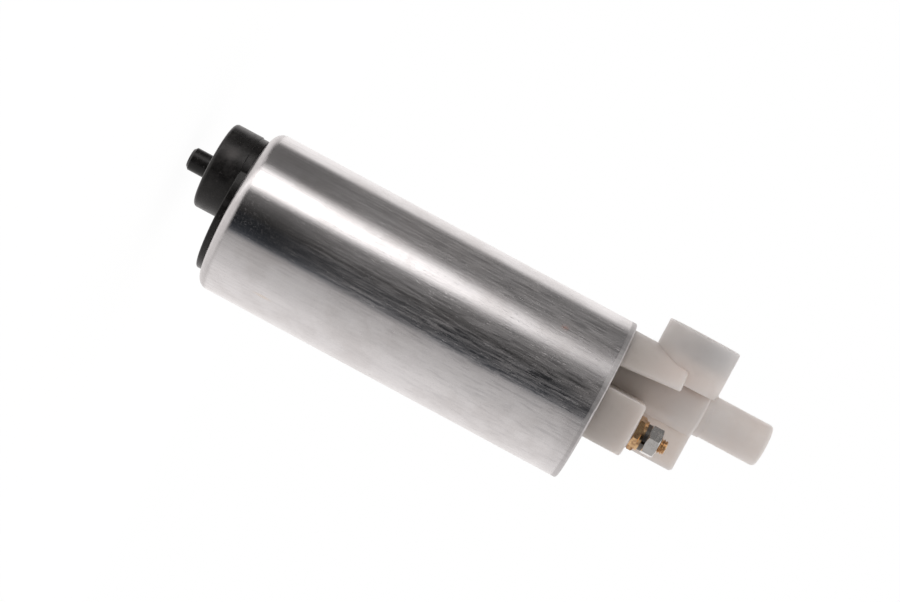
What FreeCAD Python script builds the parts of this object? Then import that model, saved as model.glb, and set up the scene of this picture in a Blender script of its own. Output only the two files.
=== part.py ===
import FreeCAD, Part
import cmath
import math
import os
import Sketcher
from types import SimpleNamespace

# In-tank electric fuel pump. +Z runs along the can's axis to the outlet, the origin is on that
# axis halfway along the can, the side boss points to -X and the terminal in view stands at -Y.
# Lengths are in mm and angles in degrees.

SIZES = {
    # aluminium can
    "can_radius": 21.5,
    "can_length": 101.0,
    "can_wall": 1.25,
    "can_corner": 2.8,
    "can_roll": 3.3,
    "mouth_set_in": 1.45,
    "mouth_lip": 0.8,
    "mouth_corner": 0.5,
    "slip": 0.04,
    # inlet cover
    "pad_play": 0.5,
    "pad_height": 2.0,
    "pad_round": 0.35,
    "cover_depth": 6.0,
    "inlet_boss_radius": 11.4,
    "inlet_boss_height": 9.5,
    "inlet_boss_left": 7.1,
    "inlet_boss_front": 4.2,
    "inlet_boss_round": 1.0,
    "inlet_boss_step": 0.25,
    "pin_radius": 3.05,
    "pin_length": 6.9,
    "pin_left": 5.4,
    "pin_back": 1.3,
    "pin_chamfer": 0.7,
    "port_radius": 5.2,
    "port_left": 7.7,
    "port_front": 8.8,
    "port_pocket": 3.0,
    "seal_section": 1.6,
    "seal_side_play": 0.1,
    "inlet_seal_height": 4.3,
    # rotor set
    "inlet_plate_thickness": 3.5,
    "pump_ring_thickness": 8.0,
    "outlet_plate_thickness": 4.5,
    "rotor_end_play": 0.05,
    "ring_thin_wall": 2.95,
    "rotor_running_play": 0.06,
    "eccentric_share": 0.075,
    "lobe_circle_share": 0.84375,
    "lobe_share": 0.25,
    "lobe_play": 0.06,
    "kidney_set_in": 0.8,
    "kidney_width": 3.8,
    "kidney_half_angle": 56.0,
    "kidney_corner": 1.2,
    "dowel_radius": 0.9,
    "dowel_set_in": 2.31,
    "dowel_half_angle": 26.0,
    "dowel_depth": 2.5,
    # armature
    "shaft_radius": 2.5,
    "shaft_waist": 3.0,
    "shaft_flat": 1.9,
    "shaft_running_play": 0.03,
    "shaft_end_gap": 1.0,
    "shaft_chamfer": 0.4,
    "bush_radius": 4.0,
    "bush_length": 6.0,
    "bush_hub_radius": 6.5,
    "bush_hub_height": 2.0,
    "washer_thickness": 0.8,
    "washer_play": 0.1,
    "air_gap": 0.6,
    "hub_gap": 1.2,
    "slot_count": 8,
    "slot_mouth": 1.6,
    "slot_root": 6.4,
    "slot_set_in": 2.0,
    "tooth_root": 2.3,
    "tooth_width": 2.1,
    "slot_bridge": 0.5,
    "wire_inset": 0.2,
    "winding_inner": 4.6,
    "winding_set_in": 1.0,
    "winding_overhang": 4.4,
    "winding_round": 1.6,
    "commutator_radius": 10.5,
    "commutator_hub_thickness": 2.4,
    "segment_thickness": 1.6,
    "segment_inner": 5.8,
    "segment_slit": 0.5,
    "commutator_collar": 0.4,
    # field
    "flux_ring_wall": 1.9,
    "magnet_thickness": 4.27,
    "magnet_overhang": 3.0,
    "magnet_angle": 140.0,
    "clip_set_back": 0.6,
    "clip_half_angle": 18.0,
    "clip_leg_angle": 2.2,
    "clip_thickness": 0.6,
    # brushes
    "brush_offset": 8.1,
    "brush_radial": 4.4,
    "brush_width": 5.0,
    "brush_length": 10.0,
    "brush_play": 0.12,
    "brush_contact_gap": 0.05,
    "brush_spring_radius": 1.7,
    "brush_spring_wire": 0.25,
    "brush_spring_turns": 6.0,
    "brush_well_depth": 15.6,
    # outlet head
    "head_depth": 22.2,
    "head_moat": 3.4,
    "head_skirt": 2.2,
    "head_hollow": 14.0,
    "head_seal_below_top": 3.7,
    "commutator_room": 5.0,
    "upper_bush_length": 11.0,
    "block_play": 0.05,
    "block_chord": 11.05,
    "block_lean": 1.4,
    "block_height": 16.0,
    "block_round": 0.6,
    "side_boss_radius": 9.7,
    "side_boss_round": 0.4,
    "side_boss_height": 16.2,
    "side_boss_inner_end": 14.0,
    "side_boss_face": 26.9,
    "neck_left": 9.6,
    "neck_radius": 6.7,
    "neck_round": 0.6,
    "neck_height": 24.4,
    "spigot_radius": 5.55,
    "spigot_foot_step": 0.2,
    "spigot_foot_height": 1.7,
    "spigot_end": 41.7,
    "spigot_round": 1.0,
    "spigot_bore": 2.9,
    "web_thickness": 2.6,
    "web_edge": 6.6,
    "web_corner": 1.0,
    "post_right": 1.5,
    "post_set_in": 9.7,
    "post_half_width": 6.95,
    "post_flat": 5.7,
    "post_height": 10.45,
    "post_shoulder_round": 0.8,
    "post_round": 0.4,
    "post_seat_radius": 4.4,
    "post_seat_height": 0.35,
    # check valve
    "valve_chamber": 4.0,
    "valve_chamber_top": 21.0,
    "valve_seat_height": 1.0,
    "valve_seat_thickness": 4.0,
    "valve_seat_bore": 2.2,
    "poppet_pilot": 2.0,
    "poppet_radius": 3.6,
    "poppet_head": 1.4,
    "poppet_stem": 1.3,
    "poppet_stem_length": 6.0,
    "valve_spring_radius": 3.2,
    "valve_spring_wire": 0.3,
    "valve_spring_turns": 5.0,
    # relief valve
    "relief_duct_left": 15.4,
    "relief_duct_radius": 1.0,
    "relief_seat_bore": 1.5,
    "relief_seat_left": 17.4,
    "relief_chamber": 2.7,
    "relief_ball_radius": 2.2,
    "relief_spring_radius": 1.65,
    "relief_spring_wire": 0.22,
    "relief_spring_turns": 3.5,
    "relief_cap_radius": 8.5,
    "relief_cap_thickness": 1.9,
    "relief_cap_recess": 0.3,
    "relief_vent": 1.2,
    "relief_core_inner": 4.4,
    "relief_core_depth": 4.0,
    # terminals
    "stud_radius": 2.0,
    "stud_tip": 19.6,
    "stud_chamfer": 0.4,
    "stud_flange_radius": 3.2,
    "stud_flange_thickness": 1.5,
    "strip_thickness": 0.8,
    "strip_left": 2.5,
    "strip_right": 4.9,
    "strip_past_stud": 3.0,
    "close_fit": 0.02,
    "base_nut_across": 8.0,
    "base_nut_thickness": 1.8,
    "base_nut_turn": -18.0,
    "plain_washer_radius": 3.9,
    "plain_washer_thickness": 0.7,
    "spring_washer_radius": 3.45,
    "spring_washer_thickness": 1.1,
    "spring_washer_gap": 0.7,
    "spring_washer_turn": -70.0,
    "terminal_nut_across": 7.0,
    "terminal_nut_thickness": 3.2,
    "terminal_nut_turn": 20.0,
}

OUTER_LOBES = 7
INNER_POINTS = 168

DOC = FreeCAD.newDocument("fuel_pump")
SHEET = DOC.addObject("Spreadsheet::Sheet", "Sizes")
PIECES = []


class Size:
    """A length or an angle, with the expression that ties it to the sheet."""

    def __init__(self, value, rule):
        self.value = value
        self.rule = rule

    def joined(self, sign, other, value):
        return Size(value, f"({self.rule} {sign} {other.rule})")

    def __add__(self, other):
        other = as_size(other)
        return self.joined("+", other, self.value + other.value)

    def __sub__(self, other):
        other = as_size(other)
        return self.joined("-", other, self.value - other.value)

    def __mul__(self, other):
        other = as_size(other)
        return self.joined("*", other, self.value * other.value)

    def __truediv__(self, other):
        other = as_size(other)
        return self.joined("/", other, self.value / other.value)

    def __rsub__(self, other):
        return as_size(other) - self

    def __rtruediv__(self, other):
        return as_size(other) / self

    def __neg__(self):
        return Size(-self.value, f"(-{self.rule})")

    __radd__ = __add__
    __rmul__ = __mul__


def as_size(number):
    if isinstance(number, Size):
        return number
    return Size(float(number), f"({float(number)})")


def root(size):
    return Size(math.sqrt(size.value), f"sqrt({size.rule})")


def sine(angle):
    return Size(math.sin(math.radians(angle.value)), f"sin({angle.rule})")


def cosine(angle):
    return Size(math.cos(math.radians(angle.value)), f"cos({angle.rule})")


def vector(x, y, z=0.0):
    return FreeCAD.Vector(float(x), float(y), float(z))


def fill_sheet():
    for row, (name, number) in enumerate(SIZES.items(), start=1):
        SHEET.set(f"A{row}", name)
        SHEET.set(f"B{row}", str(number))
        SHEET.setAlias(f"B{row}", name)
    DOC.recompute()
    return SimpleNamespace(**{name: Size(SHEET.get(name), f"Sizes.{name}") for name in SIZES})


S = fill_sheet()

# Stations along the axis. The inlet stack is counted up from the inlet end of the can and the
# head down from its outlet end.
INLET_END = -S.can_length / 2
OUTLET_END = S.can_length / 2
CAN_BORE = S.can_radius - S.can_wall
CAN_OPENING = S.can_radius - S.can_roll
CAN_MOUTH = S.can_radius - S.mouth_set_in
INNER_FIT = CAN_BORE - S.slip
COVER_TOP = INLET_END + S.cover_depth
INLET_PLATE_TOP = COVER_TOP + S.inlet_plate_thickness
RING_TOP = INLET_PLATE_TOP + S.pump_ring_thickness
OUTLET_PLATE_TOP = RING_TOP + S.outlet_plate_thickness
LOWER_BUSH_TOP = OUTLET_PLATE_TOP + S.bush_hub_height
WAIST_BOTTOM = LOWER_BUSH_TOP + S.washer_thickness + 2 * S.washer_play
HEAD_TOP = OUTLET_END - S.mouth_lip
HEAD_BOTTOM = HEAD_TOP - S.head_depth
COMMUTATOR_FACE = HEAD_BOTTOM - S.commutator_room
WAIST_TOP = COMMUTATOR_FACE + S.commutator_collar
UPPER_BUSH_BOTTOM = WAIST_TOP + S.washer_thickness + 2 * S.washer_play
UPPER_BUSH_TOP = UPPER_BUSH_BOTTOM + S.upper_bush_length
SHAFT_BOTTOM = COVER_TOP + S.shaft_end_gap
SHAFT_TOP = UPPER_BUSH_TOP + S.shaft_end_gap
HUB_BOTTOM = COMMUTATOR_FACE - S.segment_thickness - S.commutator_hub_thickness
CORE_BOTTOM = WAIST_BOTTOM + S.winding_overhang
CORE_TOP = HUB_BOTTOM - S.hub_gap - S.winding_overhang
MAGNET_BOTTOM = CORE_BOTTOM - S.magnet_overhang
MAGNET_TOP = CORE_TOP + S.magnet_overhang
POST_TOP = OUTLET_END + S.post_height
SEAT_TOP = POST_TOP + S.post_seat_height
NECK_TOP = OUTLET_END + S.neck_height
BOSS_AXIS = OUTLET_END + S.side_boss_height
BRUSH_BOTTOM = COMMUTATOR_FACE + S.brush_contact_gap
BRUSH_TOP = BRUSH_BOTTOM + S.brush_length
STRIP_BOTTOM = HEAD_BOTTOM + S.brush_well_depth
STRIP_TOP = STRIP_BOTTOM + S.strip_thickness
VALVE_SEAT_TOP = OUTLET_END + S.valve_seat_height
CAP_INNER = S.side_boss_face - S.relief_cap_recess - S.relief_cap_thickness
POST_FRONT = S.can_radius - S.post_set_in
STRIP_FAR = POST_FRONT + S.strip_past_stud

# Radii of the rotor set and of the armature and its field, counted in from the can's bore.
ROTOR_RADIUS = (INNER_FIT - S.ring_thin_wall - S.rotor_running_play) / (S.eccentric_share + 1)
ECCENTRICITY = ROTOR_RADIUS * S.eccentric_share
LOBE_CIRCLE = ROTOR_RADIUS * S.lobe_circle_share
LOBE_RADIUS = ROTOR_RADIUS * S.lobe_share
KIDNEY_OUTER = LOBE_CIRCLE - S.kidney_set_in
KIDNEY_INNER = KIDNEY_OUTER - S.kidney_width
DOWEL_CIRCLE = INNER_FIT - S.dowel_set_in
FLUX_BORE = INNER_FIT - S.flux_ring_wall
FIELD_OUTER = FLUX_BORE - S.slip
MAGNET_INNER = FIELD_OUTER - S.magnet_thickness
CORE_RADIUS = MAGNET_INNER - S.air_gap
SLOT_TOP = CORE_RADIUS - S.slot_set_in

# The pump's own frame: its +X is the line of centres, and fuel enters on its -Y side, under the
# inlet port.
PORT_ANGLE = 180 + math.degrees(math.atan2(S.port_front.value, S.port_left.value))
PUMP_TURN = PORT_ANGLE + 90


def origin_plane(body, role):
    return next(item for item in body.Origin.OriginFeatures if item.Role == role)


def new_piece(label):
    body = DOC.addObject("PartDesign::Body", label)
    body.Label = label
    PIECES.append(body)
    return body


def bind_place(piece, x=0, y=0, z=0, turn=0.0):
    """Place a piece by expressions, turned about Z."""
    spots = {"x": as_size(x), "y": as_size(y), "z": as_size(z)}
    spin = FreeCAD.Rotation(vector(0, 0, 1), turn)
    piece.Placement = FreeCAD.Placement(vector(*(spot.value for spot in spots.values())), spin)
    for side, spot in spots.items():
        piece.setExpression(f"Placement.Base.{side}", spot.rule)


def new_sketch(body, role, height=0):
    """A sketch on one of the body's own planes, lifted along the plane's normal."""
    height = as_size(height)
    sketch = body.newObject("Sketcher::SketchObject", "outline")
    sketch.AttachmentSupport = [(origin_plane(body, role), "")]
    sketch.MapMode = "FlatFace"
    sketch.AttachmentOffset = FreeCAD.Placement(vector(0, 0, height.value), FreeCAD.Rotation())
    sketch.setExpression("AttachmentOffset.Base.z", height.rule)
    return sketch


def pin_point(sketch, edge, end, x, y):
    """Hold one point of a sketch at x, y from the sketch's origin."""
    for kind, size in (("DistanceX", as_size(x)), ("DistanceY", as_size(y))):
        number = sketch.addConstraint(Sketcher.Constraint(kind, -1, 1, edge, end, size.value))
        sketch.setExpression(f"Constraints[{number}]", size.rule)


def hold_radius(sketch, edge, radius):
    number = sketch.addConstraint(Sketcher.Constraint("Radius", edge, radius.value))
    sketch.setExpression(f"Constraints[{number}]", radius.rule)


def arc_between(start, end, radius, left):
    """The shorter arc from start to end, turning left or right."""
    chord = end - start
    middle = (start + end) * 0.5
    rise = math.sqrt(max(radius**2 - (chord.Length / 2) ** 2, 0.0))
    normal = vector(-chord.y, chord.x).normalize()
    side = 1 if left else -1
    centre = middle + normal * rise * side
    return Part.Arc(start, centre - normal * radius * side, end)


def outline(sketch, corners, arcs=None):
    """Close an outline through corners. arcs maps an edge's number to its radius and its turn."""
    arcs = arcs or {}
    corners = [(as_size(x), as_size(y)) for x, y in corners]
    points = [vector(x.value, y.value) for x, y in corners]
    first = sketch.GeometryCount
    count = len(points)
    ends = []
    for number, start in enumerate(points):
        end = points[(number + 1) % count]
        if number in arcs:
            radius, turn = arcs[number]
            sketch.addGeometry(arc_between(start, end, as_size(radius).value, turn == "left"), False)
            ends.append((1, 2) if turn == "left" else (2, 1))
        else:
            sketch.addGeometry(Part.LineSegment(start, end), False)
            ends.append((1, 2))
    for number in range(count):
        after = (number + 1) % count
        joint = (first + number, ends[number][1], first + after, ends[after][0])
        sketch.addConstraint(Sketcher.Constraint("Coincident", *joint))
    for number, (x, y) in enumerate(corners):
        pin_point(sketch, first + number, ends[number][0], x, y)
    for number, (radius, _) in arcs.items():
        hold_radius(sketch, first + number, as_size(radius))


def circle(sketch, x, y, radius):
    x, y, radius = as_size(x), as_size(y), as_size(radius)
    round_edge = Part.Circle(vector(x.value, y.value), vector(0, 0, 1), radius.value)
    edge = sketch.addGeometry(round_edge, False)
    pin_point(sketch, edge, 3, x, y)
    hold_radius(sketch, edge, radius)


def rectangle(sketch, left, low, right, high):
    outline(sketch, [(left, low), (right, low), (right, high), (left, high)])


def turned(body, corners, arcs=None, angle=None):
    """Revolve a profile of (radius, height) about Z."""
    sketch = new_sketch(body, "XZ_Plane")
    outline(sketch, corners, arcs)
    feature = body.newObject("PartDesign::Revolution", "turned")
    feature.Profile = sketch
    feature.ReferenceAxis = (sketch, ["V_Axis"])
    feature.Angle = 360 if angle is None else angle.value
    if angle is not None:
        feature.Midplane = True
        feature.setExpression("Angle", angle.rule)
    return feature


def padded(body, sketch, length):
    """Raise a sketch along its plane's normal."""
    length = as_size(length)
    feature = body.newObject("PartDesign::Pad", "pad")
    feature.Profile = sketch
    feature.Length = length.value
    feature.setExpression("Length", length.rule)
    return feature


def pocketed(body, sketch, depth):
    """Cut a sketch along its plane's normal."""
    depth = as_size(depth)
    feature = body.newObject("PartDesign::Pocket", "pocket")
    feature.Profile = sketch
    feature.Length = depth.value
    feature.setExpression("Length", depth.rule)
    feature.Reversed = True
    return feature


def round_pad(body, x, y, radius, low, high):
    sketch = new_sketch(body, "XY_Plane", low)
    circle(sketch, x, y, radius)
    return padded(body, sketch, high - low)


def round_pocket(body, x, y, radius, low, high):
    sketch = new_sketch(body, "XY_Plane", low)
    circle(sketch, x, y, radius)
    return pocketed(body, sketch, high - low)


def repeated(body, features, count):
    pattern = body.newObject("PartDesign::PolarPattern", "around")
    pattern.Originals = features
    pattern.Axis = (features[0].Profile[0], ["N_Axis"])
    pattern.Angle = 360
    pattern.Occurrences = int(count.value)
    body.Tip = pattern
    return pattern


def mirrored(body, features):
    """Repeat features on the other side of the plane that the web lies in."""
    mirror = body.newObject("PartDesign::Mirrored", "other_side")
    mirror.Originals = features
    mirror.MirrorPlane = (origin_plane(body, "XZ_Plane"), [""])
    body.Tip = mirror
    return mirror


def dressed(body, kind, size, picked):
    """Fillet or chamfer the edges that picked() chooses."""
    DOC.recompute()
    base = body.Tip
    names = [f"Edge{i}" for i, edge in enumerate(base.Shape.Edges, start=1) if picked(edge)]
    feature = body.newObject(f"PartDesign::{kind}", kind.lower())
    feature.Base = (base, names)
    measure = "Radius" if kind == "Fillet" else "Size"
    setattr(feature, measure, size.value)
    feature.setExpression(measure, size.rule)
    body.Tip = feature
    return feature


def ring_edge(x, y, z, radius):
    """Chooses a circular edge by its centre and radius."""
    spot = vector(*(as_size(v).value for v in (x, y, z)))

    def picked(edge):
        if edge.Degenerated or not isinstance(edge.Curve, Part.Circle):
            return False
        curve = edge.Curve
        near = (curve.Center - spot).Length < 0.01
        return near and abs(curve.Radius - as_size(radius).value) < 0.01

    return picked


def housing_can():
    can = new_piece("housing_can")
    inner_corner = S.can_corner - S.can_wall
    corners = [
        (CAN_OPENING, INLET_END),
        (S.can_radius - S.can_corner, INLET_END),
        (S.can_radius, INLET_END + S.can_corner),
        (S.can_radius, OUTLET_END - S.mouth_corner),
        (S.can_radius - S.mouth_corner, OUTLET_END),
        (CAN_MOUTH, OUTLET_END),
        (CAN_MOUTH, OUTLET_END - S.mouth_lip),
        (CAN_BORE, OUTLET_END - S.mouth_lip),
        (CAN_BORE, INLET_END + S.can_corner),
        (CAN_BORE - inner_corner, INLET_END + S.can_wall),
        (CAN_OPENING, INLET_END + S.can_wall),
    ]
    arcs = {
        1: (S.can_corner, "left"),
        3: (S.mouth_corner, "left"),
        8: (inner_corner, "right"),
    }
    turned(can, corners, arcs)


def seal_groove(middle):
    """The three sides of an O-ring groove, from below its middle to above it."""
    half = S.seal_section / 2 + S.seal_side_play
    floor = CAN_BORE - S.seal_section - S.slip
    return [
        (INNER_FIT, middle - half),
        (floor, middle - half),
        (floor, middle + half),
        (INNER_FIT, middle + half),
    ]


def kidney(sketch, side):
    """A curved port about the pump's -Y (side -1) or +Y (side 1), between two radii."""
    across = sine(S.kidney_half_angle)
    along = cosine(S.kidney_half_angle) * side
    corners = [
        (KIDNEY_OUTER * across * side, KIDNEY_OUTER * along),
        (-KIDNEY_OUTER * across * side, KIDNEY_OUTER * along),
        (-KIDNEY_INNER * across * side, KIDNEY_INNER * along),
        (KIDNEY_INNER * across * side, KIDNEY_INNER * along),
    ]
    outline(sketch, corners, {0: (KIDNEY_OUTER, "left"), 2: (KIDNEY_INNER, "right")})


def kidney_corners(edge):
    """Chooses the upright corner edges of a kidney port."""
    if not isinstance(edge.Curve, Part.Line) or len(edge.Vertexes) != 2:
        return False
    low, high = (vertex.Point for vertex in edge.Vertexes)
    upright = abs(low.x - high.x) + abs(low.y - high.y) < 1e-6
    reach = math.hypot(low.x, low.y)
    return upright and any(
        abs(reach - radius.value) < 0.001 for radius in (KIDNEY_INNER, KIDNEY_OUTER)
    )


def inlet_cover():
    cover = new_piece("inlet_cover")
    pad_radius = CAN_OPENING - S.pad_play
    pad_bottom = INLET_END - S.pad_height
    shoulder = CAN_BORE - S.can_corner + S.can_wall
    corners = [
        (0, pad_bottom),
        (pad_radius, pad_bottom),
        (pad_radius, INLET_END + S.can_wall),
        (shoulder - S.slip, INLET_END + S.can_wall),
        (INNER_FIT, INLET_END + S.can_corner + S.slip),
        *seal_groove(INLET_END + S.inlet_seal_height),
        (INNER_FIT, COVER_TOP),
        (S.shaft_waist, COVER_TOP),
        (S.shaft_waist, COVER_TOP - S.shaft_end_gap),
        (0, COVER_TOP - S.shaft_end_gap),
    ]
    turned(cover, corners)
    dressed(cover, "Fillet", S.pad_round, ring_edge(0, 0, pad_bottom, pad_radius))
    boss_end = INLET_END - S.inlet_boss_height
    boss = (-S.inlet_boss_left, -S.inlet_boss_front)
    pin = (-S.pin_left, S.pin_back)
    pin_end = boss_end - S.pin_length
    port = (-S.port_left, -S.port_front)
    foot_radius = S.inlet_boss_radius - S.inlet_boss_step
    round_pad(cover, *boss, S.inlet_boss_radius, boss_end, pad_bottom)
    round_pad(cover, *boss, foot_radius, pad_bottom, INLET_END - S.slip)
    dressed(cover, "Fillet", S.inlet_boss_round, ring_edge(*boss, boss_end, S.inlet_boss_radius))
    round_pad(cover, *pin, S.pin_radius, pin_end, boss_end + S.inlet_boss_round)
    dressed(cover, "Chamfer", S.pin_chamfer, ring_edge(*pin, pin_end, S.pin_radius))
    pocket_floor = COVER_TOP - S.port_pocket
    round_pocket(cover, *port, S.port_radius, boss_end - S.inlet_boss_round, pocket_floor)
    pump_side = new_sketch(cover, "XY_Plane", pocket_floor)
    pump_side.AttachmentOffset = FreeCAD.Placement(
        vector(0, 0, pocket_floor.value), FreeCAD.Rotation(vector(0, 0, 1), PUMP_TURN)
    )
    kidney(pump_side, -1)
    pocketed(cover, pump_side, S.port_pocket)


def dowel_spots():
    """The two dowels stand in the thick side of the pump ring."""
    x = -DOWEL_CIRCLE * cosine(S.dowel_half_angle)
    y = DOWEL_CIRCLE * sine(S.dowel_half_angle)
    return [(x, y), (x, -y)]


def dowel_holes(body, low, high):
    sketch = new_sketch(body, "XY_Plane", low)
    for x, y in dowel_spots():
        circle(sketch, x, y, S.dowel_radius)
    pocketed(body, sketch, high - low)


def inlet_plate():
    plate = new_piece("inlet_plate")
    round_pad(plate, 0, 0, INNER_FIT, COVER_TOP, INLET_PLATE_TOP)
    bore = S.shaft_radius + S.shaft_running_play
    round_pocket(plate, 0, 0, bore, COVER_TOP, INLET_PLATE_TOP)
    port = new_sketch(plate, "XY_Plane", COVER_TOP)
    kidney(port, -1)
    pocketed(plate, port, S.inlet_plate_thickness)
    dressed(plate, "Fillet", S.kidney_corner, kidney_corners)
    dowel_holes(plate, INLET_PLATE_TOP - S.dowel_depth, INLET_PLATE_TOP)
    bind_place(plate, turn=PUMP_TURN)


def pump_ring():
    ring = new_piece("pump_ring")
    round_pad(ring, 0, 0, INNER_FIT, INLET_PLATE_TOP, RING_TOP)
    bore = ROTOR_RADIUS + S.rotor_running_play
    round_pocket(ring, ECCENTRICITY, 0, bore, INLET_PLATE_TOP, RING_TOP)
    dowel_holes(ring, INLET_PLATE_TOP, RING_TOP)
    bind_place(ring, turn=PUMP_TURN)


def outlet_plate():
    plate = new_piece("outlet_plate")
    round_pad(plate, 0, 0, INNER_FIT, RING_TOP, OUTLET_PLATE_TOP)
    port = new_sketch(plate, "XY_Plane", RING_TOP)
    kidney(port, 1)
    pocketed(plate, port, S.outlet_plate_thickness)
    dressed(plate, "Fillet", S.kidney_corner, kidney_corners)
    round_pad(plate, 0, 0, S.bush_hub_radius, OUTLET_PLATE_TOP, LOWER_BUSH_TOP)
    bush_bottom = LOWER_BUSH_TOP - S.bush_length
    round_pocket(plate, 0, 0, S.bush_radius, bush_bottom, LOWER_BUSH_TOP)
    round_pocket(plate, 0, 0, S.shaft_waist, RING_TOP, LOWER_BUSH_TOP)
    dowel_holes(plate, RING_TOP, RING_TOP + S.dowel_depth)
    bind_place(plate, turn=PUMP_TURN)


def dowel_pins():
    pins = new_piece("dowel_pins")
    low = INLET_PLATE_TOP - S.dowel_depth
    high = RING_TOP + S.dowel_depth
    sketch = new_sketch(pins, "XY_Plane", low)
    for x, y in dowel_spots():
        circle(sketch, x, y, S.dowel_radius)
    padded(pins, sketch, high - low)
    bind_place(pins, turn=PUMP_TURN)


def plain_shape(label, shape, turn=0.0):
    """A piece whose form follows a formula."""
    piece = DOC.addObject("Part::Feature", label)
    piece.Label = label
    piece.Shape = shape
    piece.Placement = FreeCAD.Placement(vector(0, 0, 0), FreeCAD.Rotation(vector(0, 0, 1), turn))
    PIECES.append(piece)
    return piece


def disc(x, y, radius, low, height):
    return Part.makeCylinder(radius, height, vector(x, y, low), vector(0, 0, 1))


def rotor_span():
    """The rotors' lower face and thickness, with end play at both plates."""
    play = S.rotor_end_play.value
    return INLET_PLATE_TOP.value + play, S.pump_ring_thickness.value - 2 * play


def outer_rotor():
    """A ring with seven round lobes facing inwards, on the eccentric centre."""
    low, height = rotor_span()
    offset = ECCENTRICITY.value
    inner_tip = LOBE_CIRCLE.value + offset - LOBE_RADIUS.value
    pocket = inner_tip + offset + 2 * S.lobe_play.value
    hollow = disc(offset, 0, pocket, low, height)
    for number in range(OUTER_LOBES):
        spot = cmath.rect(LOBE_CIRCLE.value, math.pi * (2 * number + 1) / OUTER_LOBES)
        lobe = disc(offset + spot.real, spot.imag, LOBE_RADIUS.value, low, height)
        hollow = hollow.cut(lobe)
    blank = disc(offset, 0, ROTOR_RADIUS.value, low, height)
    plain_shape("outer_rotor", blank.cut(hollow), PUMP_TURN)


def inner_rotor_points():
    """The six-lobed profile that stays in touch with all seven outer lobes as both turn."""
    far = LOBE_CIRCLE.value
    offset = ECCENTRICITY.value
    inset = LOBE_RADIUS.value + S.lobe_play.value
    for number in range(INNER_POINTS):
        turn = 2 * math.pi * number / INNER_POINTS
        lobe = cmath.rect(far, turn) - cmath.rect(offset, OUTER_LOBES * turn)
        heading = 1j * (cmath.rect(far, turn) - OUTER_LOBES * cmath.rect(offset, OUTER_LOBES * turn))
        point = lobe + 1j * heading / abs(heading) * inset
        yield vector(point.real, point.imag)


def inner_rotor():
    low, height = rotor_span()
    profile = Part.BSplineCurve()
    profile.interpolate(list(inner_rotor_points()), PeriodicFlag=True)
    face = Part.Face(Part.Wire(profile.toShape()))
    blank = face.extrude(vector(0, 0, height))
    blank.translate(vector(0, 0, low))
    play = S.close_fit.value
    reach = S.shaft_radius.value + play
    bore = disc(0, 0, reach, low, height)
    keep_flat = Part.makeBox(reach, 2 * reach, height, vector(S.shaft_flat.value + play, -reach, low))
    plain_shape("inner_rotor", blank.cut(bore.cut(keep_flat)), PUMP_TURN)


def shaft():
    rod = new_piece("shaft")
    edge = S.shaft_radius - S.shaft_chamfer
    corners = [
        (0, SHAFT_BOTTOM),
        (edge, SHAFT_BOTTOM),
        (S.shaft_radius, SHAFT_BOTTOM + S.shaft_chamfer),
        (S.shaft_radius, WAIST_BOTTOM),
        (S.shaft_waist, WAIST_BOTTOM),
        (S.shaft_waist, WAIST_TOP),
        (S.shaft_radius, WAIST_TOP),
        (S.shaft_radius, SHAFT_TOP - S.shaft_chamfer),
        (edge, SHAFT_TOP),
        (0, SHAFT_TOP),
    ]
    turned(rod, corners)
    flat = new_sketch(rod, "XY_Plane", SHAFT_BOTTOM)
    rectangle(flat, S.shaft_flat, -S.shaft_waist, S.shaft_waist, S.shaft_waist)
    pocketed(rod, flat, RING_TOP - SHAFT_BOTTOM)
    bind_place(rod, turn=PUMP_TURN)


def bush(label, top, length):
    sleeve = new_piece(label)
    bore = S.shaft_radius + S.shaft_running_play
    turned(sleeve, [(bore, top - length), (S.bush_radius, top - length), (S.bush_radius, top), (bore, top)])


def thrust_washer(label, low):
    washer = new_piece(label)
    high = low + S.washer_thickness
    bore = S.shaft_radius + S.washer_play
    turned(washer, [(bore, low), (S.bush_radius, low), (S.bush_radius, high), (bore, high)])


def slot_outline(sketch, inset, mouth):
    """One winding slot, along +X. The mouth opens it to the rim."""
    pitch = sine(180 / S.slot_count)
    root_half = S.slot_root * pitch - S.tooth_root / 2 - inset
    top_half = SLOT_TOP * pitch - S.tooth_width / 2 - inset
    low, high = S.slot_root + inset, SLOT_TOP - inset
    body = [(low, -root_half), (high, -top_half)]
    opening = []
    if mouth:
        rim = CORE_RADIUS + S.slot_bridge
        half = S.slot_mouth / 2
        neck = high + S.slot_bridge
        opening = [(neck, -half), (rim, -half), (rim, half), (neck, half)]
    outline(sketch, [*body, *opening, (high, top_half), (low, root_half)])


def armature_core():
    core = new_piece("armature_core")
    corners = [
        (S.shaft_waist, CORE_BOTTOM),
        (CORE_RADIUS, CORE_BOTTOM),
        (CORE_RADIUS, CORE_TOP),
        (S.shaft_waist, CORE_TOP),
    ]
    turned(core, corners)
    sketch = new_sketch(core, "XY_Plane", CORE_BOTTOM)
    slot_outline(sketch, 0, True)
    slot = pocketed(core, sketch, CORE_TOP - CORE_BOTTOM)
    repeated(core, [slot], S.slot_count)


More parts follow.
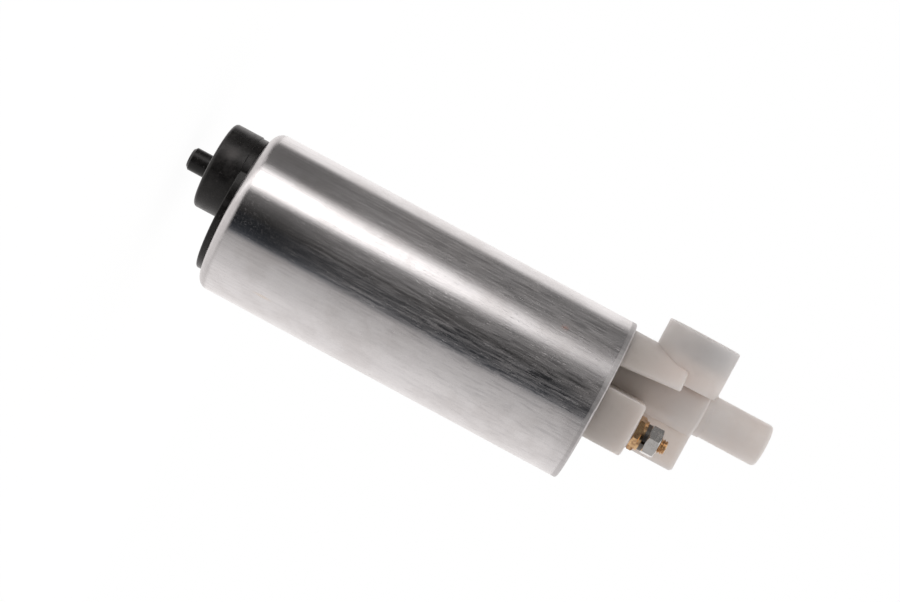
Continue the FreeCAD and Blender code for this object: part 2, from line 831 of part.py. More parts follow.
def armature_windings():
    """Wire bundles lie in the slots, with a rounded ring of end turns at each end."""
    coil = new_piece("armature_windings")

    def end_turns(near, far, turn):
        inner, outer = S.winding_inner, CORE_RADIUS - S.winding_set_in
        rise = S.winding_round if turn == "left" else -S.winding_round
        corners = [
            (inner, near),
            (outer, near),
            (outer, far - rise),
            (outer - S.winding_round, far),
            (inner + S.winding_round, far),
            (inner, far - rise),
        ]
        arcs = {2: (S.winding_round, turn), 4: (S.winding_round, turn)}
        turned(coil, corners, arcs)

    end_turns(CORE_BOTTOM, CORE_BOTTOM - S.winding_overhang + S.washer_play, "right")
    sketch = new_sketch(coil, "XY_Plane", CORE_BOTTOM - S.winding_round)
    slot_outline(sketch, S.wire_inset, False)
    bundle = padded(coil, sketch, CORE_TOP - CORE_BOTTOM + 2 * S.winding_round)
    repeated(coil, [bundle], S.slot_count)
    end_turns(CORE_TOP, CORE_TOP + S.winding_overhang - S.washer_play, "left")


def commutator():
    hub = new_piece("commutator_hub")
    face = HUB_BOTTOM + S.commutator_hub_thickness
    collar = S.segment_inner - S.slip
    corners = [
        (S.shaft_waist, HUB_BOTTOM),
        (S.commutator_radius, HUB_BOTTOM),
        (S.commutator_radius, face),
        (collar, face),
        (collar, WAIST_TOP),
        (S.shaft_waist, WAIST_TOP),
    ]
    turned(hub, corners)
    bars = new_piece("commutator_segments")
    corners = [
        (S.segment_inner, face),
        (S.commutator_radius, face),
        (S.commutator_radius, COMMUTATOR_FACE),
        (S.segment_inner, COMMUTATOR_FACE),
    ]
    turned(bars, corners)
    sketch = new_sketch(bars, "XY_Plane", face)
    rim = S.commutator_radius + S.segment_slit
    rectangle(sketch, 0, -S.segment_slit / 2, rim, S.segment_slit / 2)
    slit = pocketed(bars, sketch, S.segment_thickness)
    repeated(bars, [slit], S.slot_count)


def flux_ring():
    ring = new_piece("flux_ring")
    corners = [
        (FLUX_BORE, OUTLET_PLATE_TOP),
        (INNER_FIT, OUTLET_PLATE_TOP),
        (INNER_FIT, HEAD_BOTTOM),
        (FLUX_BORE, HEAD_BOTTOM),
    ]
    turned(ring, corners)


def magnet(label, turn):
    shell = new_piece(label)
    low, high = MAGNET_BOTTOM, MAGNET_TOP
    corners = [(MAGNET_INNER, low), (FIELD_OUTER, low), (FIELD_OUTER, high), (MAGNET_INNER, high)]
    turned(shell, corners, angle=S.magnet_angle)
    bind_place(shell, turn=turn)


def polar(radius, angle):
    return radius * cosine(angle), radius * sine(angle)


def magnet_clip(label, turn):
    """A sprung channel that pushes the two magnets apart."""
    clip = new_piece(label)
    wide = S.clip_half_angle
    narrow = wide - S.clip_leg_angle
    back = FIELD_OUTER - S.clip_thickness
    front = MAGNET_INNER + S.clip_set_back
    corners = [
        polar(FIELD_OUTER, -wide),
        polar(FIELD_OUTER, wide),
        polar(front, wide),
        polar(front, narrow),
        polar(back, narrow),
        polar(back, -narrow),
        polar(front, -narrow),
        polar(front, -wide),
    ]
    sketch = new_sketch(clip, "XY_Plane", MAGNET_BOTTOM)
    outline(sketch, corners, {0: (FIELD_OUTER, "left"), 4: (back, "right")})
    padded(clip, sketch, MAGNET_TOP - MAGNET_BOTTOM)
    bind_place(clip, turn=turn)


def seal_ring(label, middle):
    ring = DOC.addObject("Part::Torus", label)
    ring.Label = label
    section = S.seal_section / 2
    reach = CAN_BORE - section - S.slip / 2
    for name, size in (("Radius1", reach), ("Radius2", section)):
        setattr(ring, name, size.value)
        ring.setExpression(name, size.rule)
    bind_place(ring, z=middle)
    PIECES.append(ring)


def coil_spring(label, radius, wire, turns, length):
    """A round-wire spring along Z, from the middle of its first turn's wire."""
    path = DOC.addObject("Part::Helix", label + "_path")
    pitch = length / turns
    for name, size in (("Pitch", pitch), ("Height", length), ("Radius", radius)):
        setattr(path, name, size.value)
        path.setExpression(name, size.rule)
    section = DOC.addObject("Part::Circle", label + "_wire")
    section.Radius = wire.value
    section.setExpression("Radius", wire.rule)
    section.Placement = FreeCAD.Placement(
        vector(radius.value, 0, 0), FreeCAD.Rotation(vector(1, 0, 0), 90)
    )
    section.setExpression("Placement.Base.x", radius.rule)
    spring = DOC.addObject("Part::Sweep", label)
    spring.Label = label
    spring.Sections = [section]
    spring.Spine = (path, [])
    spring.Solid = True
    spring.Frenet = True
    PIECES.append(spring)
    return spring


def brush(label, side):
    block = new_piece(label)
    half = S.brush_width / 2
    near = S.brush_offset - S.brush_radial / 2
    far = S.brush_offset + S.brush_radial / 2
    sketch = new_sketch(block, "XY_Plane", BRUSH_BOTTOM)
    if side < 0:
        rectangle(sketch, -half, -far, half, -near)
    else:
        rectangle(sketch, -half, near, half, far)
    padded(block, sketch, S.brush_length)


def brush_spring(label, side):
    wire = S.brush_spring_wire
    length = STRIP_BOTTOM - BRUSH_TOP - 2 * wire
    spring = coil_spring(label, S.brush_spring_radius, wire, S.brush_spring_turns, length)
    bind_place(spring, y=S.brush_offset * side, z=BRUSH_TOP + wire)


def contact_strip(label, side):
    strip = new_piece(label)
    near = S.brush_offset - S.brush_radial / 2
    sketch = new_sketch(strip, "XY_Plane", STRIP_BOTTOM)
    if side < 0:
        rectangle(sketch, -S.strip_left, -STRIP_FAR, S.strip_right, -near)
    else:
        rectangle(sketch, -S.strip_left, near, S.strip_right, STRIP_FAR)
    padded(strip, sketch, S.strip_thickness)


def outlet_head():
    """The moulded outlet end: plug, side boss, neck and spigot, web and terminal posts."""
    head = new_piece("outlet_head")
    hollow_roof = HEAD_BOTTOM + S.head_hollow
    skirt_inner = INNER_FIT - S.head_skirt
    hub_radius = skirt_inner - S.head_moat
    corners = [
        (0, HEAD_BOTTOM),
        (hub_radius, HEAD_BOTTOM),
        (hub_radius, hollow_roof),
        (skirt_inner, hollow_roof),
        (skirt_inner, HEAD_BOTTOM),
        (INNER_FIT, HEAD_BOTTOM),
        *seal_groove(HEAD_TOP - S.head_seal_below_top),
        (INNER_FIT, HEAD_TOP),
        (0, HEAD_TOP),
    ]
    turned(head, corners)
    head_block(head)
    head_web(head)
    mirrored(head, terminal_post(head))
    head_passages(head)
    head_relief(head)
    front = head_terminal_pockets(head)
    mirrored(head, front)
    round_pocket(head, 0, 0, S.bush_radius, HEAD_BOTTOM, UPPER_BUSH_TOP)
    round_pocket(head, 0, 0, S.shaft_waist, HEAD_BOTTOM, SHAFT_TOP + S.shaft_end_gap)
    spigot_end = OUTLET_END + S.spigot_end
    rim = ring_edge(-S.neck_left, 0, spigot_end, S.spigot_radius)
    dressed(head, "Fillet", S.spigot_round, rim)
    dressed(head, "Fillet", S.post_shoulder_round, post_shoulder)
    dressed(head, "Fillet", S.post_round, post_rim)


def head_block(head):
    """The D-shaped block with its leaning front, the side boss, and the neck and spigot."""
    radius = CAN_MOUTH - S.block_play
    block_top = OUTLET_END + S.block_height
    sketch = new_sketch(head, "XY_Plane", HEAD_TOP)
    outline_segment(sketch, radius, S.block_chord)
    padded(head, sketch, block_top - HEAD_TOP)
    foot, back = -S.block_chord, -S.block_chord - S.block_lean
    lean = new_sketch(head, "XZ_Plane", -radius)
    outline(lean, [(foot, HEAD_TOP), (foot + S.block_lean, block_top), (back, block_top)])
    pocketed(head, lean, 2 * radius)
    dressed(head, "Fillet", S.block_round, block_rim)
    neck = -S.neck_left
    round_pad(head, neck, 0, S.neck_radius, HEAD_TOP, NECK_TOP)
    dressed(head, "Fillet", S.neck_round, ring_edge(neck, 0, NECK_TOP, S.neck_radius))
    boss = new_sketch(head, "YZ_Plane", -S.side_boss_face)
    circle(boss, 0, BOSS_AXIS, S.side_boss_radius)
    padded(head, boss, S.side_boss_face - S.side_boss_inner_end)
    boss_rim = ring_edge(-S.side_boss_face, 0, BOSS_AXIS, S.side_boss_radius)
    dressed(head, "Fillet", S.side_boss_round, boss_rim)
    foot_radius = S.spigot_radius + S.spigot_foot_step
    round_pad(head, neck, 0, foot_radius, NECK_TOP, NECK_TOP + S.spigot_foot_height)
    round_pad(head, neck, 0, S.spigot_radius, NECK_TOP, OUTLET_END + S.spigot_end)


def block_rim(edge):
    """Chooses the block's edges, apart from the seam up the back of its arc."""
    above = max(vertex.Z for vertex in edge.Vertexes) > HEAD_TOP.value + 0.01
    return above and any(abs(vertex.Y) > 0.01 for vertex in edge.Vertexes)


def outline_segment(sketch, radius, chord):
    """A circle's segment: the chord at x = -chord, and the arc round to -X."""
    half = root(radius * radius - chord * chord)
    corners = [(-chord, half), (-radius, 0), (-chord, -half)]
    outline(sketch, corners, {0: (radius, "left"), 1: (radius, "left")})


def head_web(head):
    """The upright wall between the two terminals, with one rounded corner."""
    sketch = new_sketch(head, "XZ_Plane", -S.web_thickness / 2)
    edge, corner = S.web_edge, S.web_corner
    corners = [
        (-S.neck_left, HEAD_TOP),
        (edge, HEAD_TOP),
        (edge, NECK_TOP - corner),
        (edge - corner, NECK_TOP),
        (-S.neck_left, NECK_TOP),
    ]
    outline(sketch, corners, {2: (corner, "left")})
    padded(head, sketch, S.web_thickness)


def terminal_post(head):
    """The front post, flat towards the boss and round on its far side, and its nut's seat."""
    near = -(POST_FRONT - S.post_half_width)
    far = -(POST_FRONT + S.post_half_width)
    sketch = new_sketch(head, "XY_Plane", HEAD_TOP)
    right = S.post_right + S.post_half_width
    corners = [
        (-S.post_flat, near),
        (-S.post_flat, far),
        (S.post_right, far),
        (right, -POST_FRONT),
        (S.post_right, near),
    ]
    arcs = {2: (S.post_half_width, "left"), 3: (S.post_half_width, "left")}
    outline(sketch, corners, arcs)
    post = padded(head, sketch, POST_TOP - HEAD_TOP)
    return [post, round_pad(head, S.post_right, -POST_FRONT, S.post_seat_radius, POST_TOP, SEAT_TOP)]


def at_post_top(edge):
    return all(abs(vertex.Z - POST_TOP.value) < 1e-4 for vertex in edge.Vertexes)


def post_shoulder(edge):
    """Chooses the edges over the posts' flat sides."""
    return at_post_top(edge) and all(
        abs(vertex.X + S.post_flat.value) < 1e-4 for vertex in edge.Vertexes
    )


def post_rim(edge):
    """Chooses the other outer edges of the posts' tops, but not where the seats meet them."""
    if not at_post_top(edge) or edge.Degenerated:
        return False
    if isinstance(edge.Curve, Part.Circle):
        return abs(edge.Curve.Radius - S.post_half_width.value) < 0.01
    return edge.BoundBox.XLength > 0.01


def head_passages(head):
    """The outlet passage: the valve chamber from below, and the spigot's bore above it."""
    neck = -S.neck_left
    chamber_top = OUTLET_END + S.valve_chamber_top
    round_pocket(head, neck, 0, S.valve_chamber, HEAD_BOTTOM, chamber_top)
    round_pocket(head, neck, 0, S.spigot_bore, chamber_top, OUTLET_END + S.spigot_end)


def head_relief(head):
    """The relief valve's duct, seat and chamber, and the hollow round it in the side boss."""
    duct = -S.relief_duct_left
    hollow_roof = HEAD_BOTTOM + S.head_hollow
    round_pocket(head, duct, 0, S.relief_duct_radius, hollow_roof, BOSS_AXIS)

    def bored(outer_end, inner_end, *radii):
        sketch = new_sketch(head, "YZ_Plane", -outer_end)
        for radius in radii:
            circle(sketch, 0, BOSS_AXIS, radius)
        pocketed(head, sketch, outer_end - inner_end)

    bored(S.side_boss_face, CAP_INNER, S.relief_cap_radius)
    bored(CAP_INNER, CAP_INNER - S.relief_core_depth, S.relief_core_inner, S.relief_cap_radius)
    bored(CAP_INNER, S.relief_seat_left, S.relief_chamber)
    duct_far = S.relief_duct_left - S.relief_duct_radius
    bored(S.relief_seat_left, duct_far, S.relief_seat_bore)


def head_terminal_pockets(head):
    """What the front terminal and brush need: the brush well and the moulded-in brass."""
    half = S.brush_width / 2 + S.brush_play
    near = S.brush_offset - S.brush_radial / 2
    far = S.brush_offset + S.brush_radial / 2
    well = new_sketch(head, "XY_Plane", HEAD_BOTTOM)
    rectangle(well, -half, -(far + S.brush_play), half, -(near - S.brush_play))
    strip = new_sketch(head, "XY_Plane", STRIP_BOTTOM)
    rectangle(strip, -S.strip_left, -STRIP_FAR, S.strip_right, -near)
    stud = (S.post_right, -POST_FRONT)
    flange_top = STRIP_TOP + S.stud_flange_thickness
    return [
        pocketed(head, well, STRIP_BOTTOM - HEAD_BOTTOM),
        pocketed(head, strip, S.strip_thickness),
        round_pocket(head, *stud, S.stud_flange_radius, STRIP_TOP, flange_top),
        round_pocket(head, *stud, S.stud_radius, STRIP_TOP, SEAT_TOP),
    ]


def check_valve():
    seat = new_piece("check_valve_seat")
    top = VALVE_SEAT_TOP
    low = top - S.valve_seat_thickness
    corners = [
        (S.valve_seat_bore, low),
        (S.valve_chamber, low),
        (S.valve_chamber, top),
        (S.valve_seat_bore, top),
    ]
    turned(seat, corners)
    bind_place(seat, x=-S.neck_left)
    poppet = new_piece("check_valve_poppet")
    shelf = top + S.poppet_head
    tip = shelf + S.poppet_stem_length
    corners = [
        (0, top - S.valve_seat_thickness / 2),
        (S.poppet_pilot, top - S.valve_seat_thickness / 2),
        (S.poppet_pilot, top),
        (S.poppet_radius, top),
        (S.poppet_radius, shelf),
        (S.poppet_stem, shelf),
        (S.poppet_stem, tip),
        (0, tip),
    ]
    turned(poppet, corners)
    bind_place(poppet, x=-S.neck_left)
    wire = S.valve_spring_wire
    length = OUTLET_END + S.valve_chamber_top - shelf - 2 * wire
    label = "check_valve_spring"
    spring = coil_spring(label, S.valve_spring_radius, wire, S.valve_spring_turns, length)
    bind_place(spring, x=-S.neck_left, z=shelf + wire)


def ball_station():
    """How far left of the axis the relief ball's middle lies, resting on its seat's edge."""
    ball, seat = S.relief_ball_radius, S.relief_seat_bore
    return S.relief_seat_left + root(ball * ball - seat * seat)


def relief_valve():
    ball = DOC.addObject("Part::Sphere", "relief_ball")
    ball.Label = "relief_ball"
    ball.Radius = S.relief_ball_radius.value
    ball.setExpression("Radius", S.relief_ball_radius.rule)
    bind_place(ball, x=-ball_station(), z=BOSS_AXIS)
    PIECES.append(ball)
    wire, radius = S.relief_spring_wire, S.relief_spring_radius
    touch = S.relief_ball_radius + wire
    start = ball_station() + root(touch * touch - radius * radius)
    length = CAP_INNER - wire - start
    spring = coil_spring("relief_spring", radius, wire, S.relief_spring_turns, length)
    spring.Placement = FreeCAD.Placement(
        vector(-start.value, 0, BOSS_AXIS.value), FreeCAD.Rotation(vector(0, 1, 0), -90)
    )
    spring.setExpression("Placement.Base.x", (-start).rule)
    spring.setExpression("Placement.Base.z", BOSS_AXIS.rule)
    cap = new_piece("relief_cap")
    sketch = new_sketch(cap, "YZ_Plane", -(CAP_INNER + S.relief_cap_thickness))
    circle(sketch, 0, BOSS_AXIS, S.relief_cap_radius - S.slip)
    circle(sketch, 0, BOSS_AXIS, S.relief_vent)
    padded(cap, sketch, S.relief_cap_thickness)


def hex_nut(label, across, low, thickness, turn, spot):
    """A hexagon nut with its corners taken off at both faces."""
    nut = new_piece(label)
    corner = across / root(as_size(3))
    half = across / 2
    points = [
        (corner, 0),
        (corner / 2, half),
        (-corner / 2, half),
        (-corner, 0),
        (-corner / 2, -half),
        (corner / 2, -half),
    ]
    sketch = new_sketch(nut, "XY_Plane", low)
    outline(sketch, points)
    padded(nut, sketch, thickness)
    round_pocket(nut, 0, 0, S.stud_radius + S.close_fit, low, low + thickness)
    drop = (corner - half) / root(as_size(3))
    for face, inward in ((low, drop), (low + thickness, -drop)):
        chamfer = new_sketch(nut, "XZ_Plane")
        triangle = [(half, face), (2 * corner - half, face), (2 * corner - half, face + 2 * inward)]
        outline(chamfer, triangle)
        groove = nut.newObject("PartDesign::Groove", "groove")
        groove.Profile = chamfer
        groove.ReferenceAxis = (chamfer, ["V_Axis"])
        groove.Angle = 360
    bind_place(nut, *spot, turn=turn)


def flat_washer(label, radius, low, thickness, spot):
    washer = new_piece(label)
    bore = S.stud_radius + S.washer_play
    high = low + thickness
    turned(washer, [(bore, low), (radius, low), (radius, high), (bore, high)])
    bind_place(washer, *spot)
    return washer


def terminal(name, side):
    """Everything on one terminal post, from the moulded-in stud to its nut."""
    spot = (S.post_right, POST_FRONT * side)
    tip = OUTLET_END + S.stud_tip
    flange_top = STRIP_TOP + S.stud_flange_thickness
    stud = new_piece(name + "_stud")
    corners = [
        (0, STRIP_TOP),
        (S.stud_flange_radius, STRIP_TOP),
        (S.stud_flange_radius, flange_top),
        (S.stud_radius, flange_top),
        (S.stud_radius, tip - S.stud_chamfer),
        (S.stud_radius - S.stud_chamfer, tip),
        (0, tip),
    ]
    turned(stud, corners)
    bind_place(stud, *spot)
    across, thickness, turn = S.base_nut_across, S.base_nut_thickness, S.base_nut_turn.value
    hex_nut(name + "_base_nut", across, SEAT_TOP, thickness, turn, spot)
    level = SEAT_TOP + thickness
    flat_washer(name + "_plain_washer", S.plain_washer_radius, level, S.plain_washer_thickness, spot)
    level = level + S.plain_washer_thickness
    thickness = S.spring_washer_thickness
    split = flat_washer(name + "_spring_washer", S.spring_washer_radius, level, thickness, spot)
    sketch = new_sketch(split, "XY_Plane", level)
    half = S.spring_washer_gap / 2
    rectangle(sketch, 0, -half, S.spring_washer_radius + half, half)
    pocketed(split, sketch, thickness)
    bind_place(split, *spot, turn=S.spring_washer_turn.value)
    level = level + thickness
    across, thickness = S.terminal_nut_across, S.terminal_nut_thickness
    turn = S.terminal_nut_turn.value
    hex_nut(name + "_terminal_nut", across, level, thickness, turn, spot)


def check_document():
    """Every object is up to date, every cut removed something and every piece is sound."""
    for item in DOC.Objects:
        if "Invalid" in item.State or "Error" in item.State:
            raise RuntimeError(f"{item.Name} failed: {item.State}")
        if item.TypeId in ("PartDesign::Pocket", "PartDesign::Groove"):
            if item.Shape.Volume > item.BaseFeature.Shape.Volume - 1e-4:
                raise RuntimeError(f"{item.Name} cut nothing")
    for piece in PIECES:
        if piece.Shape.isNull() or not piece.Shape.isValid() or piece.Shape.Volume <= 0:
            raise RuntimeError(f"{piece.Label} has no sound shape")


def build():
    housing_can()
    inlet_cover()
    seal_ring("inlet_seal", INLET_END + S.inlet_seal_height)
    inlet_plate()
    pump_ring()
    outer_rotor()
    inner_rotor()
    outlet_plate()
    dowel_pins()
    bush("lower_bush", LOWER_BUSH_TOP, S.bush_length)
    thrust_washer("lower_thrust_washer", LOWER_BUSH_TOP + S.washer_play)
    shaft()
    armature_core()
    armature_windings()
    commutator()
    thrust_washer("upper_thrust_washer", WAIST_TOP + S.washer_play)
    bush("upper_bush", UPPER_BUSH_TOP, S.upper_bush_length)
    flux_ring()
    magnet("left_magnet", 180.0)
    magnet("right_magnet", 0.0)
    magnet_clip("front_magnet_clip", -90.0)
    magnet_clip("rear_magnet_clip", 90.0)
    outlet_head()
    seal_ring("head_seal", HEAD_TOP - S.head_seal_below_top)
    check_valve()
    relief_valve()
    for name, side in (("front", -1), ("rear", 1)):
        brush(name + "_brush", side)
        brush_spring(name + "_brush_spring", side)
        contact_strip(name + "_contact_strip", side)
        terminal(name, side)


build()
DOC.recompute()
check_document()
os.makedirs("parts", exist_ok=True)
for piece in PIECES:
    piece.Shape.exportStep(f"parts/{piece.Label}.step")
print(len(PIECES), "pieces")
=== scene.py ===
import math

import bmesh
import bpy
from mathutils import Matrix, Vector


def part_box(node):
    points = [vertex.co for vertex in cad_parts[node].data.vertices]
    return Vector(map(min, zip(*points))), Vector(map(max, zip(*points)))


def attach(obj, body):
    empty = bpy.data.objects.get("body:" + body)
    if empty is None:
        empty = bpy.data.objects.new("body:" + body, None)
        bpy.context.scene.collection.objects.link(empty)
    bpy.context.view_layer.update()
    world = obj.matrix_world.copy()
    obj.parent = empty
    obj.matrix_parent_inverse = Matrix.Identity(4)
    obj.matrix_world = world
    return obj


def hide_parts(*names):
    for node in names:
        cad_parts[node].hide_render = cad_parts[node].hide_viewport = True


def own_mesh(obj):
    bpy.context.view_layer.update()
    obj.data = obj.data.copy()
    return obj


# Lengths are in metres. Z runs along the pump from the inlet to the outlet, and its zero is
# near the middle of the can.
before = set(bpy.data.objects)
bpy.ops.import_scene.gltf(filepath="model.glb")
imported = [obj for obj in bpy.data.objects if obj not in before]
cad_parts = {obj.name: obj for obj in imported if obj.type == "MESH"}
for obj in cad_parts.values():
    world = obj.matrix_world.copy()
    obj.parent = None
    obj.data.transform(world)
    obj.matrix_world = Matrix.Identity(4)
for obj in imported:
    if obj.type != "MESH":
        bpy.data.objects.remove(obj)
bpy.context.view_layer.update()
MM = 0.001


def in_scene(name, data):
    piece = bpy.data.objects.new(name, data)
    bpy.context.scene.collection.objects.link(piece)
    return piece


class Tree:
    """Short calls that add nodes to one node tree and join them."""

    def __init__(self, tree):
        self.nodes = tree.nodes
        self.links = tree.links

    def add(self, kind, feeds=None, **settings):
        node = self.nodes.new(kind)
        for name, value in settings.items():
            setattr(node, name, value)
        for name, value in (feeds or {}).items():
            self.feed(node.inputs[name], value)
        return node

    def feed(self, socket, value):
        if isinstance(value, bpy.types.NodeSocket):
            self.links.new(value, socket)
        else:
            socket.default_value = value

    def work(self, operation, *values, **settings):
        feeds = dict(enumerate(values))
        return self.add("ShaderNodeMath", feeds, operation=operation, **settings).outputs[0]

    def plus(self, first, second):
        return self.work("ADD", first, second)

    def minus(self, first, second):
        return self.work("SUBTRACT", first, second)

    def times(self, first, second):
        return self.work("MULTIPLY", first, second)

    def vector(self, operation, *values, output="Vector"):
        feeds = dict(enumerate(values))
        return self.add("ShaderNodeVectorMath", feeds, operation=operation).outputs[output]

    def height(self, place):
        return self.add("ShaderNodeSeparateXYZ", {0: place}).outputs[2]

    def ramp(self, value, low, high, start=0.0, end=1.0):
        """A smooth rise from start to end as the value goes from low to high."""
        feeds = {
            "Value": value,
            "From Min": low,
            "From Max": high,
            "To Min": start,
            "To Max": end,
        }
        return self.add("ShaderNodeMapRange", feeds, interpolation_type="SMOOTHSTEP").outputs[0]

    def blend(self, share, first, second):
        """A colour between two, or a value when neither is a colour."""
        sides = (first, second)
        if not any(type(side) is tuple or getattr(side, "type", "") == "RGBA" for side in sides):
            return self.add("ShaderNodeMix", {0: share, 2: first, 3: second}).outputs[0]
        first, second = ((*side, 1.0) if type(side) is tuple else side for side in sides)
        feeds = {0: share, 6: first, 7: second}
        return self.add("ShaderNodeMix", feeds, data_type="RGBA").outputs[2]

    def noise(self, place, scale, seed, detail, rough=0.55):
        feeds = {
            "Vector": place,
            "W": seed,
            "Scale": scale,
            "Detail": detail,
            "Roughness": rough,
        }
        return self.add("ShaderNodeTexNoise", feeds, noise_dimensions="4D").outputs["Fac"]

    def effect(self, group, **feeds):
        """Place a shared effect with its own values, and give its outputs."""
        node = self.add("ShaderNodeGroup", node_tree=group)
        for name, value in feeds.items():
            self.feed(node.inputs[name], value)
        return node.outputs

    def bump(self, height, depth, strength, normal=None):
        feeds = {"Height": height, "Distance": depth, "Strength": strength}
        if normal is not None:
            feeds["Normal"] = normal
        return self.add("ShaderNodeBump", feeds).outputs[0]


def shared_effect(name, inputs, outputs, fill):
    """A shader node group. fill() gets its inputs and says what each output is."""
    group = bpy.data.node_groups.new(name, "ShaderNodeTree")
    sides = group.interface
    sides.new_socket("Place", in_out="INPUT", socket_type="NodeSocketVector")
    for label, value in inputs.items():
        socket = sides.new_socket(label, in_out="INPUT", socket_type="NodeSocketFloat")
        socket.default_value = value
    for label in outputs:
        sides.new_socket(label, in_out="OUTPUT", socket_type="NodeSocketFloat")
    tree = Tree(group)
    given = tree.add("NodeGroupInput").outputs
    result = tree.add("NodeGroupOutput").inputs
    for label, socket in fill(tree, given).items():
        tree.feed(result[label], socket)
    return group


def drawn_streaks(tree, given):
    """Lines drawn along Z, as a brush or a die leaves them."""
    across, along = given["Across"], given["Along"]
    spread = tree.add("ShaderNodeCombineXYZ", {"X": across, "Y": across, "Z": along}).outputs[0]
    place = tree.vector("MULTIPLY", given["Place"], spread)
    return {"Lines": tree.noise(place, 1.0, given["Seed"], detail=4.0, rough=0.6)}


# The patches that keep scratches: their scale and seed beside the lines', and their soft edge.
PATCH_SCALE = 2.3
PATCH_SEED = 7.0
PATCH_EDGE = 0.06


def sparse_scratches(tree, given):
    """Thin lines where a noise crosses its middle, kept only in patches."""
    line = tree.noise(given["Place"], given["Scale"], given["Seed"], detail=1.0)
    gap = tree.work("ABSOLUTE", tree.minus(line, 0.5))
    thin = tree.ramp(gap, 0.0, given["Width"], 1.0, 0.0)
    patch_scale = tree.times(given["Scale"], PATCH_SCALE)
    patch_seed = tree.plus(given["Seed"], PATCH_SEED)
    patch = tree.noise(given["Place"], patch_scale, patch_seed, detail=2.0)
    edge = tree.minus(1.0, given["Amount"])
    kept = tree.ramp(patch, edge, tree.plus(edge, PATCH_EDGE))
    return {"Mask": tree.times(thin, kept)}


def clouded_patches(tree, given):
    """Soft uneven patches between two levels of a noise."""
    cloud = tree.noise(given["Place"], given["Scale"], given["Seed"], detail=5.0, rough=0.6)
    return {"Mask": tree.ramp(cloud, given["Low"], given["High"])}


def fine_grain(tree, given):
    """The skin of a moulded or pressed part."""
    fine = tree.noise(given["Place"], given["Scale"], given["Seed"], detail=3.0, rough=0.7)
    wide_scale = tree.times(given["Scale"], 0.12)
    wide = tree.noise(given["Place"], wide_scale, given["Seed"], detail=2.0)
    return {"Height": tree.plus(tree.times(fine, 0.4), wide), "Tone": wide}


def turned_rings(tree, given):
    """Rings round Z that a lathe or a grinding wheel leaves on sides and faces."""
    split = tree.add("ShaderNodeSeparateXYZ", {0: given["Place"]}).outputs
    squares = [tree.times(split[axis], split[axis]) for axis in (0, 1)]
    reach = tree.work("SQRT", tree.plus(*squares))
    run = tree.plus(reach, split[2])
    count = tree.work("DIVIDE", run, given["Pitch"])
    feeds = {"W": count, "Scale": 1.0, "Detail": 3.0, "Roughness": 0.6}
    rings = tree.add("ShaderNodeTexNoise", feeds, noise_dimensions="1D").outputs["Fac"]
    return {"Height": rings}


def stacked_layers(tree, given):
    """Level lines one pitch apart along Z, as sheets or wire turns show."""
    count = tree.work("DIVIDE", tree.height(given["Place"]), given["Pitch"])
    turn = tree.times(count, 2 * math.pi)
    wave = tree.work("SINE", turn)
    return {"Height": tree.work("MULTIPLY_ADD", wave, 0.5, 0.5)}


STREAKS = shared_effect(
    "drawn_streaks",
    {"Across": 4000.0, "Along": 40.0, "Seed": 0.0},
    ("Lines",),
    drawn_streaks,
)
SCRATCHES = shared_effect(
    "sparse_scratches",
    {"Scale": 300.0, "Width": 0.01, "Amount": 0.4, "Seed": 0.0},
    ("Mask",),
    sparse_scratches,
)
PATCHES = shared_effect(
    "clouded_patches",
    {"Scale": 80.0, "Low": 0.45, "High": 0.65, "Seed": 0.0},
    ("Mask",),
    clouded_patches,
)
GRAIN = shared_effect(
    "fine_grain", {"Scale": 9000.0, "Seed": 0.0}, ("Height", "Tone"), fine_grain
)
RINGS = shared_effect("turned_rings", {"Pitch": 0.00012}, ("Height",), turned_rings)
LAYERS = shared_effect("stacked_layers", {"Pitch": 0.0005}, ("Height",), stacked_layers)


def finish(slot, look, **constants):
    """A slot's material. look() says what varies over the surface; the constants don't."""
    material = bpy.data.materials.new(slot + "_finish")
    material.use_nodes = True
    material.node_tree.nodes.clear()
    tree = Tree(material.node_tree)
    place = tree.add("ShaderNodeTexCoord").outputs["Object"]
    surface = tree.add("ShaderNodeBsdfPrincipled")
    for name, value in {**constants, **look(tree, place)}.items():
        tree.feed(surface.inputs[name], value)
    tree.add("ShaderNodeOutputMaterial", {0: surface.outputs[0]})
    return material


def mark_at(tree, place, spot, width, length):
    """1 in the middle of a mark, 0 outside it. The length runs along Z."""
    away = tree.vector("SUBTRACT", place, spot)
    shares = tree.vector("DIVIDE", away, (width, width, length))
    reach = tree.vector("LENGTH", shares, output="Value")
    return tree.ramp(reach, 0.1, 1.0, 1.0, 0.0)


def streaks(tree, place, across, along, seed):
    """Lines along Z: closer together for more across, and shorter for more along."""
    return tree.effect(STREAKS, Place=place, Across=across, Along=along, Seed=seed)["Lines"]


def patches(tree, place, scale, low, high, seed):
    """Patches where a noise is above high, fading out down to low."""
    return tree.effect(PATCHES, Place=place, Scale=scale, Low=low, High=high, Seed=seed)["Mask"]


# Bands of the can, each by the height where it begins and the height where it is complete.
CAN_USED = (-0.03, 0.035)
CAN_HAZE = (-0.042, -0.014)
CAN_SPECKS = (-0.033, -0.043)
CAN_INLET_RIM = (-0.0474, -0.0484)
# The mouth band and the lip are painted shade: their colour is darkened to dim the can's reflection
# at its head end.
CAN_MOUTH_SHADE = (0.044, 0.0475)
CAN_LIP_SHADE = (0.0488, 0.0493)
# Two small marks on its front.
RUSTY_SPOT = (-0.0131, -0.0171, 0.0347)
CREAMY_SPOT = (0.0152, -0.0152, -0.0335)
# How deep its drawn lines and its nicks are.
WAVY_DEPTH = 0.000008
FINE_DEPTH = 0.0000035
NICK_DEPTH = 0.00001


